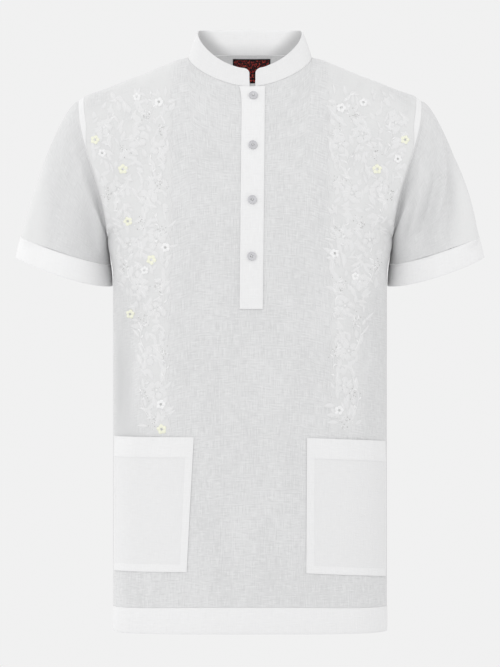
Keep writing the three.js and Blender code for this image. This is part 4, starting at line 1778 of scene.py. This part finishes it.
@dataclass
class Buttons:
    """Four pearl buttons, each sewn on through four holes."""

    placket: Placket
    pearl: Material
    thread: Material
    heights: tuple[float, ...] = (-55.5, -122.7, -195.4, -270.0)
    radius: float = 5.85
    thickness: float = 2.4
    rim: float = 1.1
    dish: float = 0.55
    hole_radius: float = 0.7
    hole_pitch: float = 1.35
    chamfer: float = 0.5
    rounding: float = 0.22
    thread_radius: float = 0.36
    thread_sink: float = 0.5
    seat: float = 2.1
    spin: float = 17.0
    patch: float = 3.0

    def model(self) -> Piece:
        """Models one button at the origin, facing +Z.

        Returns:
            The button.
        """
        deselect_all()
        size = {"radius": self.radius * MM, "depth": self.thickness * MM}
        bpy.ops.mesh.primitive_cylinder_add(vertices=48, **size)
        button = bpy.context.object
        bpy.ops.object.mode_set(mode="EDIT")
        bpy.ops.mesh.select_all(action="DESELECT")
        bpy.ops.mesh.select_mode(type="FACE")
        edit = bmesh.from_edit_mesh(button.data)
        for face in edit.faces:
            face.select_set(face.normal.z > 0.9)
        bmesh.update_edit_mesh(button.data)
        bpy.ops.mesh.inset(thickness=self.rim * MM)
        bpy.ops.mesh.inset(thickness=self.chamfer * MM)
        bpy.ops.transform.translate(value=(0.0, 0.0, -self.dish * MM))
        bpy.ops.object.mode_set(mode="OBJECT")
        holes = self.drill()
        cut = button.modifiers.new("holes", "BOOLEAN")
        cut.operation = "DIFFERENCE"
        cut.object = holes
        cut.solver = "EXACT"
        select_only(button)
        bpy.ops.object.modifier_apply(modifier=cut.name)
        bpy.data.objects.remove(holes)
        round_edges(self.rounding, 3, 35.0)
        bpy.ops.object.shade_smooth_by_angle(angle=math.radians(40.0))
        return button

    def drill(self) -> Piece:
        """Four round bits that the holes are cut with.

        Returns:
            The bits as one object.
        """
        bits = []
        for degrees in (45, 135, 225, 315):
            turn = math.radians(degrees)
            place = (self.hole_pitch * math.cos(turn) * MM, self.hole_pitch * math.sin(turn) * MM, 0.0)
            size = {"radius": self.hole_radius * MM, "depth": 3 * self.thickness * MM}
            bpy.ops.mesh.primitive_cylinder_add(vertices=14, location=place, **size)
            bits.append(bpy.context.object)
        for bit in bits:
            bit.select_set(True)
        bpy.context.view_layer.objects.active = bits[0]
        bpy.ops.object.join()
        bits[0].select_set(False)
        return bits[0]

    def stitches(self) -> Piece:
        """Two crossed bars of thread over the holes, at the origin.

        Returns:
            The thread as one object.
        """
        bars = []
        for degrees, stretch in ((45, 1.5), (135, 1.3)):
            deselect_all()
            bpy.ops.mesh.primitive_torus_add(
                major_radius=self.hole_pitch * MM,
                minor_radius=self.thread_radius * MM,
                major_segments=20,
                minor_segments=8,
                rotation=(math.pi / 2, 0.0, math.radians(degrees)),
            )
            bars.append(bpy.context.object)
            bars[-1].scale = (1.0, stretch, 1.0)
        select_only(bars[0])
        bars[1].select_set(True)
        bpy.ops.object.join()
        bpy.ops.object.transform_apply(location=True, rotation=True, scale=True)
        height = self.thickness / 2 - self.dish - self.thread_sink
        bars[0].data.transform(Matrix.Translation((0.0, 0.0, height * MM)))
        bars[0].data.uv_layers[0].name = UV_NAME
        bpy.ops.object.shade_smooth()
        return bars[0]

    def make(self) -> None:
        """Seats a button and its thread at each height of the placket."""
        pearl, thread = self.model(), self.stitches()
        pearl.data.materials.append(self.pearl)
        thread.data.materials.append(self.thread)
        for number, z in enumerate(self.heights, 1):
            x = float(self.placket.middle(z))
            spread = np.array([[x - self.patch, x + self.patch]] * 2)
            rows = np.array([[z - self.patch] * 2, [z + self.patch] * 2])
            patch = self.placket.drape.at(Side.FRONT, spread, rows, self.seat + self.thickness / 2)
            normal = Vector(np.cross(patch[0, 1] - patch[0, 0], patch[1, 0] - patch[0, 0])).normalized()
            turn = Vector((0.0, 0.0, 1.0)).rotation_difference(normal).to_matrix().to_4x4()
            spin = Matrix.Rotation(math.radians(self.spin * number), 4, "Z")
            place = Matrix.Translation(Vector(patch.reshape(-1, 3).mean(axis=0)) * MM) @ turn @ spin
            for source, name, slot, nodes in (
                (pearl, f"button_{number}_pearl", Slot.PEARL, (f"button_{number}",)),
                (thread, f"button_{number}_thread", Slot.DOUBLE, ()),
            ):
                copy = source.copy()
                copy.data = source.data.copy()
                copy.name = name
                copy.matrix_world = Matrix.Identity(4)
                copy.data.transform(place)
                bpy.context.scene.collection.objects.link(copy)
                settle(copy, slot, *nodes)
        for source in (pearl, thread):
            bpy.data.objects.remove(source)


# ---- Needlework ----


@dataclass
class Needle:
    """Lays raised stitches on the front cloth, drawn on it from straight ahead."""

    tree: BVHTree
    vertices: list[Vector] = field(default_factory=list)
    faces: list[tuple[int, ...]] = field(default_factory=list)
    corners: list[list[Place]] = field(default_factory=list)
    lanes: tuple[float, ...] = (-1.0, -0.55, 0.0, 0.55, 1.0)
    lowest: float = 0.12
    shoulder: float = 0.8
    knot_sides: int = 6
    knot_foot: float = 0.1

    def on_cloth(self, place: Place, out: float) -> Vector | None:
        """The point a distance off the cloth, in front of a place.

        Args:
            place: Its x and z, in millimetres.
            out: The distance off the cloth, in millimetres.

        Returns:
            The point in metres, or nothing where there is no cloth.
        """
        start = Vector((place[0] * MM, -1.0, place[1] * MM))
        point, normal, _, _ = self.tree.ray_cast(start, Vector((0.0, 1.0, 0.0)))
        return None if point is None else point + normal * out * MM

    def ridge(self, path: Sequence[Place], widths: Sequence[float], height: float) -> None:
        """Adds a raised, rounded strip of satin stitch along a path.

        Args:
            path: Its centre line.
            widths: Its half width at each point.
            height: How far its middle stands off the cloth.
        """
        shoulder = mix(self.lowest, height, self.shoulder)
        outs = (self.lowest, shoulder, height, shoulder, self.lowest)
        rows = []
        for index, (x, z) in enumerate(path):
            before, after = path[max(0, index - 1)], path[min(len(path) - 1, index + 1)]
            run = Vector((after[0] - before[0], after[1] - before[1]))
            if run.length < 1e-6:
                return
            square = Vector((-run.y, run.x)).normalized() * widths[index]
            row = []
            for share, out in zip(self.lanes, outs):
                point = self.on_cloth((x + share * square.x, z + share * square.y), out)
                if point is None:
                    return
                row.append(point)
            rows.append(row)
        self.add_rows(rows, widths)

    def add_rows(self, rows: list[list[Vector]], widths: Sequence[float]) -> None:
        """Adds a strip's quads.

        Args:
            rows: Points across the strip at each point of its path.
            widths: Its half widths, for the thread's direction.
        """
        base = len(self.vertices)
        self.vertices.extend(rows[0])
        count = len(rows[0])
        spans = count - 1
        along = 0.0
        for index in range(1, len(rows)):
            self.vertices.extend(rows[index])
            step = (rows[index][2] - rows[index - 1][2]).length
            along += step
            for k in range(spans):
                a = base + (index - 1) * count + k
                self.faces.append((a, a + 1, a + count + 1, a + count))
                near, far = (((k + side) / spans - 0.5) * widths[index] * MM for side in (0, 1))
                before = along - step
                self.corners.append([(near, before), (far, before), (far, along), (near, along)])

    def knot(self, place: Place, radius: float, height: float) -> None:
        """Adds one small round knot.

        Args:
            place: Its centre.
            radius: Its radius.
            height: Its height.
        """
        top = self.on_cloth(place, height)
        if top is None:
            return
        ring = []
        for k in range(self.knot_sides):
            turn = math.tau * k / self.knot_sides
            spot = (place[0] + radius * math.cos(turn), place[1] + radius * math.sin(turn))
            point = self.on_cloth(spot, self.knot_foot)
            if point is None:
                return
            ring.append(point)
        base = len(self.vertices)
        self.vertices.extend([top, *ring])
        for k in range(self.knot_sides):
            self.faces.append((base, base + 1 + k, base + 1 + (k + 1) % self.knot_sides))
            self.corners.append([(0.0, 0.0), (radius * MM, 0.0), (radius * MM, radius * MM)])

    def make(self, name: str, material: Material) -> Piece:
        """Makes one object of all that was stitched.

        Args:
            name: The object's name.
            material: Its thread.

        Returns:
            The object.
        """
        mesh = bpy.data.meshes.new(name)
        mesh.from_pydata([tuple(point) for point in self.vertices], [], self.faces)
        flat = [value for corners in self.corners for corner in corners for value in corner]
        mesh.uv_layers.new(name=UV_NAME).data.foreach_set("uv", flat)
        mesh.materials.append(material)
        piece = add_object(name, mesh)
        select_only(piece)
        bpy.ops.object.mode_set(mode="EDIT")
        bpy.ops.mesh.select_all(action="SELECT")
        bpy.ops.mesh.normals_make_consistent(inside=False)
        bpy.ops.object.mode_set(mode="OBJECT")
        bpy.ops.object.shade_smooth()
        return piece


def around(centre: Place, reach: float, heading: float) -> Place:
    """The place at a distance from a centre, in a direction in degrees."""
    turn = math.radians(heading)
    return (centre[0] + reach * math.cos(turn), centre[1] + reach * math.sin(turn))


def curl(start: Place, heading: float, length: float, bend: float, steps: int = 10) -> list[Place]:
    """A path that turns steadily as it goes.

    Args:
        start: Where it begins.
        heading: Its first direction in degrees, 0 towards +X and 90 up.
        length: Its length.
        bend: How far it turns over its length, in degrees.
        steps: How many pieces it has.

    Returns:
        Its points.
    """
    path = [start]
    for index in range(steps):
        turn = math.radians(heading + bend * (index + 0.5) / steps)
        x, z = path[-1]
        path.append((x + math.cos(turn) * length / steps, z + math.sin(turn) * length / steps))
    return path


@dataclass(frozen=True)
class BandRow:
    """How wide the embroidered band is at a height."""

    z: float
    outer: float
    inner: float


@dataclass(frozen=True)
class EmbroideredBand:
    """The outline of the needlework down one side of the front, as distances from the centre."""

    rows: tuple[BandRow, ...] = (
        BandRow(-30, 176, 106),
        BandRow(-80, 222, 106),
        BandRow(-150, 214, 105),
        BandRow(-225, 196, 106),
        BandRow(-290, 180, 107),
        BandRow(-345, 158, 108),
        BandRow(-430, 147, 109),
        BandRow(-504, 150, 107),
    )
    scallop: float = 27.0
    scallop_depth: float = 3.5
    bottom_z: float = -503.0
    inner_fade: Span = (-2.0, 6.0)
    outer_fade: Span = (-12.0, 14.0)
    foot_fade: Span = (-4.0, 10.0)
    patch_across: tuple[float, float, float] = (7.5, 1.6, 19.0)
    patch_up: tuple[float, float, float] = (12.0, 1.4, 15.0)
    patch_mean: float = 0.78
    patch_swing: float = 0.3
    thinner_beyond: Span = (120.0, 156.0)
    thinner_below: Span = (-230.0, -300.0)
    thinner_by: float = 0.5

    def edges(self, z: Array | float) -> tuple[Array | float, Array | float]:
        """The band's outer and inner edges at a height.

        Args:
            z: The height.

        Returns:
            Their distances from the centre.
        """
        heights = [row.z for row in self.rows][::-1]
        outer = np.interp(z, heights, [row.outer for row in self.rows][::-1])
        inner = np.interp(z, heights, [row.inner for row in self.rows][::-1])
        return outer, inner - self.scallop_depth * np.abs(np.sin(np.pi * np.asarray(z) / self.scallop))

    def cover(self, x: Array, z: Array) -> Array:
        """How closely each place of the front is covered by needlework, from 0 to 1.

        Args:
            x: Distance from the centre, of either sign.
            z: Height.

        Returns:
            The share at each place.
        """
        outer, inner = self.edges(z)
        far = np.abs(x)
        across = soft_step(*self.inner_fade, far - inner) * soft_step(*self.outer_fade, outer - far)
        wide, bent, over = self.patch_across
        warp = np.sin(x / wide + bent * np.sin(z / over))
        tall, bent, over = self.patch_up
        warp = warp * np.sin(z / tall + bent * np.sin(x / over))
        patches = self.patch_mean + self.patch_swing * warp
        thinned = soft_step(*self.thinner_beyond, far) * soft_step(*self.thinner_below, z)
        foot = soft_step(*self.foot_fade, z - self.bottom_z)
        return across * (1.0 - self.thinner_by * thinned) * patches * foot


class Yarn(Enum):
    """The threads of the needlework, and grey knots of painted shade for its eyelets and pinholes."""

    PALE = "pale"
    WHITE = "white"
    YELLOW = "yellow"
    SHADE = "shade"


@dataclass
class Embroidery:
    """Shadow-work leaves and blossoms, small open flowers and seeds down one side of the front."""

    arm: Arm
    cloth: Piece
    threads: dict[Yarn, Material]
    needles: dict[Yarn, Needle] = field(init=False)
    draw: random.Random = field(init=False)
    band: EmbroideredBand = EmbroideredBand()
    seed: int = 11
    row_step: float = 8.6
    leaf_step: float = 12.5
    leaf_margin: float = 4.0
    leaf_top: float = -48.0
    leaf_shape: tuple[float, ...] = (0.1, 0.62, 0.95, 1.0, 0.78, 0.45, 0.05)
    leaf_bend: float = 22.0
    leaf_lengths: Span = (9.0, 20.0)
    leaf_widths: Span = (3.2, 7.4)
    leaf_heights: Span = (0.2, 0.42)
    veined: float = 0.45
    petal_shape: tuple[float, ...] = (0.35, 0.85, 1.0, 0.8, 0.15)
    fan_turns: tuple[float, ...] = (-76, -44, -14, 16, 46, 76)
    fans: int = 13
    fan_top: float = -68.0
    fan_step: float = 34.0
    stems: int = 10
    stem_top: float = -74.0
    stem_step: float = 44.0
    stem_bend: float = 75.0
    stem_points: int = 14
    edge_top: float = -46.0
    cluster_knots: int = 28
    cluster_spread: Span = (4.0, 5.0)
    knot_radii: Span = (0.55, 0.9)
    blossoms: tuple[Place, ...] = (
        (196, -92), (150, -108), (120, -122), (176, -176), (136, -188), (196, -228),
        (160, -250), (124, -246), (146, -306), (126, -338), (131, -398), (124, -444),
    )
    white_flowers: tuple[Place, ...] = (
        (152, -58), (122, -66), (198, -134), (112, -262), (140, -292), (118, -470),
    )
    yellow_flowers: tuple[Place, ...] = (
        (208, -112), (170, -152), (163, -222), (131, -274), (160, -346), (117, -499),
    )
    clusters: tuple[Place, ...] = (
        (140, -82), (118, -100), (168, -128), (120, -172), (190, -184), (146, -226), (116, -236),
        (168, -282), (122, -308), (140, -352), (116, -398), (138, -452), (128, -488),
    )

    def place(self, x: float, z: float) -> Place:
        """The place on this side of the front."""
        return (self.arm * x, z)

    def leaf(self, yarn: Yarn, start: Place, heading: float, size: Span, height: float) -> list[Place]:
        """Stitches a pointed leaf with a slight bend.

        Args:
            yarn: Its thread.
            start: Its foot.
            heading: Its direction.
            size: Its length and its full width.
            height: How far its middle stands off the cloth.

        Returns:
            Its centre line.
        """
        path = curl(start, heading, size[0], self.leaf_bend, len(self.leaf_shape) - 1)
        self.needles[yarn].ridge(path, [size[1] / 2 * part for part in self.leaf_shape], height)
        return path

    def petals(self, yarn: Yarn, centre: Place, radius: float, turn: float, size: Span) -> None:
        """Stitches five petals round a centre.

        Args:
            yarn: Their thread.
            centre: The flower's centre.
            radius: The flower's radius.
            turn: The direction of its first petal.
            size: Their half width for a radius of 1, and how far they stand off the cloth.
        """
        for petal in range(5):
            heading = turn + 72 * petal
            path = curl(around(centre, 0.26 * radius, heading), heading, 0.74 * radius, 0.0, 4)
            self.needles[yarn].ridge(path, [radius * size[0] * part for part in self.petal_shape], size[1])

    def flower(self, yarn: Yarn, centre: Place, radius: float, turn: float) -> None:
        """Stitches a small open flower round a grey knot of painted shade for its eyelet."""
        self.petals(yarn, centre, radius, turn, (0.44, 0.85))
        self.needles[Yarn.SHADE].knot(centre, 0.17 * radius, 0.3)

    def blossom(self, centre: Place, radius: float, turn: float) -> None:
        """Stitches a large pale blossom with white veins and a ring of seeds, grey knots of painted shade.

        Args:
            centre: Its centre.
            radius: Its radius.
            turn: The direction of its first petal.
        """
        self.petals(Yarn.PALE, centre, radius, turn, (0.36, 0.5))
        for petal in range(5):
            foot = around(centre, 0.34 * radius, turn + 72 * petal)
            vein = curl(foot, turn + 72 * petal, 0.4 * radius, 14.0, 4)
            self.needles[Yarn.WHITE].ridge(vein, [0.28] * 5, 0.72)
            seed = around(centre, 0.45 * radius, turn + 36 + 72 * petal)
            self.needles[Yarn.SHADE].knot(seed, 0.5, 0.3)
        self.needles[Yarn.WHITE].knot(centre, 1.4, 0.8)

    def fan(self, foot: Place, heading: float) -> None:
        """Stitches half a blossom, of short petals that spread from one foot.

        Args:
            foot: Where they meet.
            heading: The direction that they spread about.
        """
        for turn in self.fan_turns:
            leaning = heading + turn + self.draw.uniform(-5, 5)
            self.leaf(Yarn.PALE, foot, leaning, (self.draw.uniform(7.0, 9.0), 3.0), 0.55)
        self.needles[Yarn.PALE].knot(foot, 1.3, 0.7)

    def scatter(self) -> None:
        """Fills the band with pale leaves that flow up and outwards."""
        z = self.leaf_top
        margin = self.leaf_margin
        uniform = self.draw.uniform
        while z > self.band.bottom_z + 2 * margin:
            outer, inner = self.band.edges(z)
            count = max(2, round((outer - inner) / self.leaf_step))
            for lane in range(count):
                across = (outer - inner - 2 * margin) * (lane + uniform(0.1, 0.9)) / count
                flow = 90.0 - self.arm * 46.0 * math.sin(z / 34.0 + 1.8 * lane)
                start = self.place(inner + margin + across, z - 6.0 + uniform(-4, 4))
                size = (uniform(*self.leaf_lengths), uniform(*self.leaf_widths))
                flow += uniform(-50, 50)
                path = self.leaf(Yarn.PALE, start, flow, size, uniform(*self.leaf_heights))
                if self.draw.random() < self.veined:
                    self.needles[Yarn.WHITE].ridge(path[1:6], [0.3] * 5, 0.6)
            z -= self.row_step

    def stem(self, number: int) -> None:
        """Stitches a curved stem with four small leaves.

        Args:
            number: Its number from the top.
        """
        z = self.stem_top - self.stem_step * number
        outer, inner = self.band.edges(z)
        start = self.place(mix(inner, outer, 0.3 + 0.4 * (number % 2)), z - 12)
        bend = self.arm * (self.stem_bend if number % 2 else -self.stem_bend)
        points = self.stem_points
        path = curl(start, 90 - bend / 2, self.draw.uniform(38, 58), bend, points)
        self.needles[Yarn.WHITE].ridge(path, [0.36] * (points + 1), 0.6)
        for step in (3, 6, 9, 12):
            turn = 90 - bend / 2 + bend * step / points + (50 if step % 2 else -50)
            self.leaf(Yarn.WHITE, path[step], turn, (6.5, 2.1), 0.6)

    def inner_edge(self) -> None:
        """Stitches the half blossoms and the line along the band's inner edge."""
        for number in range(self.fans):
            z = self.fan_top - self.fan_step * number
            foot = self.place(float(self.band.edges(z)[1]) + 13.0, z - 3.0)
            self.fan(foot, 90 + self.arm * 84)
        heights = np.arange(self.edge_top, self.band.bottom_z, -3.0)
        edge = [self.place(float(self.band.edges(z)[1]) + 1.5, float(z)) for z in heights]
        self.needles[Yarn.PALE].ridge(edge, [0.5] * len(edge), 0.45)

    def flowers(self) -> None:
        """Stitches the blossoms and the open flowers."""
        for number, (x, z) in enumerate(self.blossoms):
            radius = 11.5 + (number * 5 % 3)
            self.blossom(self.place(x, z + 3 * self.arm), radius, 33.0 * number)
        yellow = self.yellow_flowers if self.arm is Arm.RIGHT else self.yellow_flowers[:2]
        for number, (x, z) in enumerate(yellow):
            self.flower(Yarn.YELLOW, self.place(x, z), 6.3 + 0.5 * (number % 2), 20.0 * number)
        for number, (x, z) in enumerate(self.white_flowers):
            centre = self.place(x, z - 4 * self.arm)
            self.flower(Yarn.WHITE, centre, 5.8 + 0.8 * (number % 2), 90.0 - 17.0 * number)

    def seeds(self) -> None:
        """Stitches the clusters of knots, half white and half grey knots of painted shade for pinholes."""
        for x, z in self.clusters:
            for number in range(self.cluster_knots):
                spread = self.cluster_spread
                spot = self.place(x + self.draw.gauss(0, spread[0]), z + self.draw.gauss(0, spread[1]))
                yarn = Yarn.SHADE if number % 2 else Yarn.WHITE
                self.needles[yarn].knot(spot, self.draw.uniform(*self.knot_radii), 0.5)

    def make(self) -> None:
        """Stitches the whole band and makes one object for each thread."""
        self.draw = random.Random(self.seed + self.arm)
        tree = BVHTree.FromObject(self.cloth, bpy.context.evaluated_depsgraph_get())
        self.needles = {yarn: Needle(tree) for yarn in Yarn}
        self.scatter()
        for number in range(self.stems):
            self.stem(number)
        self.inner_edge()
        self.flowers()
        self.seeds()
        for yarn, needle in self.needles.items():
            name = f"embroidery_{self.arm.word}_{yarn.value}"
            settle(needle.make(name, self.threads[yarn]), Slot.DOUBLE)


# ---- Studio ----


@dataclass(frozen=True)
class Sun:
    """A soft distant light, turned in degrees."""

    name: str
    strength: float
    softness: float
    turn: tuple[float, float, float]


@dataclass(frozen=True)
class Studio:
    """A level camera far in front, soft light from all round and a pale floor below."""

    distance: float = 4.4
    height: float = -0.372
    lens: float = 174.6
    sensor: float = 36.0
    surround: float = 0.878
    floor_z: float = -1.16
    floor_radius: float = 2.9
    suns: tuple[Sun, ...] = (
        Sun("key", 0.55, 35.0, (70.0, 0.0, -26.0)),
        Sun("fill", 0.24, 60.0, (84.0, 0.0, 34.0)),
        Sun("left", 0.25, 30.0, (86.0, 0.0, -84.0)),
        Sun("right", 0.26, 30.0, (86.0, 0.0, 84.0)),
        Sun("back", 0.5, 20.0, (64.0, 0.0, 226.0)),
    )

    def make(self) -> None:
        """Builds the camera, the lights and the floor."""
        camera = add_object("camera", bpy.data.cameras.new("camera"))
        camera.data.lens = self.lens
        camera.data.sensor_width = self.sensor
        camera.data.clip_end = 60.0
        camera.location = (0.0, -self.distance, self.height)
        camera.rotation_euler = (math.pi / 2, 0.0, 0.0)
        bpy.context.scene.camera = camera
        world = bpy.data.worlds.new("studio")
        world.use_nodes = True
        background = world.node_tree.nodes["Background"]
        background.inputs["Color"].default_value = opaque((self.surround,) * 3)
        background.inputs["Strength"].default_value = 1.0
        bpy.context.scene.world = world
        for sun in self.suns:
            light = add_object(sun.name, bpy.data.lights.new(sun.name, "SUN"))
            light.data.energy = sun.strength
            light.data.angle = math.radians(sun.softness)
            light.rotation_euler = [math.radians(value) for value in sun.turn]
        place = (0.0, 0.0, self.floor_z)
        bpy.ops.mesh.primitive_circle_add(
            vertices=96, radius=self.floor_radius, fill_type="NGON", location=place
        )
        floor = bpy.context.object
        floor.name = "floor"
        floor.data.materials.append(FloorFinish().make())
        bpy.context.scene.view_settings.view_transform = "Standard"


def main() -> None:
    """Builds the dressed garment round its frame."""
    logging.basicConfig(level=logging.INFO, format="%(name)s: %(message)s")
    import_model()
    Studio().make()
    # The voile turns whiter under needlework and fells, and darker with painted shade beside the side
    # seams.
    voile = ClothFinish(
        "voile",
        (0.62, 0.622, 0.625),
        (0.722, 0.724, 0.727),
        0.9,
        worked_and_painted_light=(0.712, 0.714, 0.714),
        shaded=(0.60, 0.602, 0.605),
    ).make()
    # The sleeves' and cuffs' whiter colours are painted light on their outer parts.
    sleeve_voile = ClothFinish(
        "sleeve_voile", (0.632, 0.634, 0.637), (0.71, 0.712, 0.715), 0.6, worked_and_painted_light=(0.74, 0.742, 0.742)
    ).make()
    closer, closer_slub = (0.74, 0.74, 0.743), (0.785, 0.785, 0.788)
    pocket_voile = ClothFinish("pocket_voile", closer, closer_slub, 0.4).make()
    closed, closed_slub = (0.77, 0.77, 0.773), (0.82, 0.82, 0.823)
    cuff_voile = ClothFinish(
        "cuff_voile", closed, closed_slub, 0.5, worked_and_painted_light=(0.875, 0.875, 0.878)
    ).make()
    collar_voile = ClothFinish("collar_voile", closer, closer_slub, 0.5).make()
    double = ClothFinish("double_voile", closed, closed_slub, 0.5).make()
    # The collar lining's colour is darkened for painted shade inside the neck, and a painted glow lights
    # its middle.
    lining = ClothFinish(
        "collar_lining_painted_shade", (0.60, 0.60, 0.603), (0.64, 0.64, 0.643), 0.5, glow=0.31, glow_half_width=0.08
    ).make()
    # Painted light: the inside of the cloth is lighter than its outer face and has a painted glow.
    inside = ClothFinish("voile_inside_painted_glow", (0.66, 0.66, 0.662), (0.76, 0.76, 0.763), 0.8, glow=0.12).make()
    white = ThreadFinish("white_thread", (0.90, 0.90, 0.90), (0.76, 0.76, 0.765)).make()
    pale = ThreadFinish("pale_thread", (0.78, 0.78, 0.783), (0.695, 0.695, 0.698), roughness=0.7)
    threads = {
        Yarn.PALE: pale.make(),
        Yarn.WHITE: white,
        Yarn.YELLOW: ThreadFinish("yellow_thread", (0.88, 0.89, 0.74), (0.80, 0.80, 0.66)).make(),
        # Painted shade of eyelets and pinholes, as grey knots.
        Yarn.SHADE: ThreadFinish("painted_eyelet_shade", (0.56, 0.56, 0.55), (0.46, 0.46, 0.455)).make(),
    }
    torso = Torso()
    drape = Drape(torso)
    seamstress = Seamstress(white)
    panels = Panels(drape, voile, double, inside, seamstress)
    panels.make()
    Sleeves(torso, sleeve_voile, cuff_voile, seamstress).make()
    Collar(drape, collar_voile, lining, seamstress).make()
    placket = Placket(drape, double, seamstress)
    placket.make()
    Pockets(drape, pocket_voile, double, seamstress).make()
    Label(drape, LabelFinish().make()).make()
    Buttons(placket, PearlFinish().make(), white).make()
    for arm in Arm:
        Embroidery(arm, panels.pieces[Side.FRONT], threads).make()


if __name__ == "__main__":
    main()
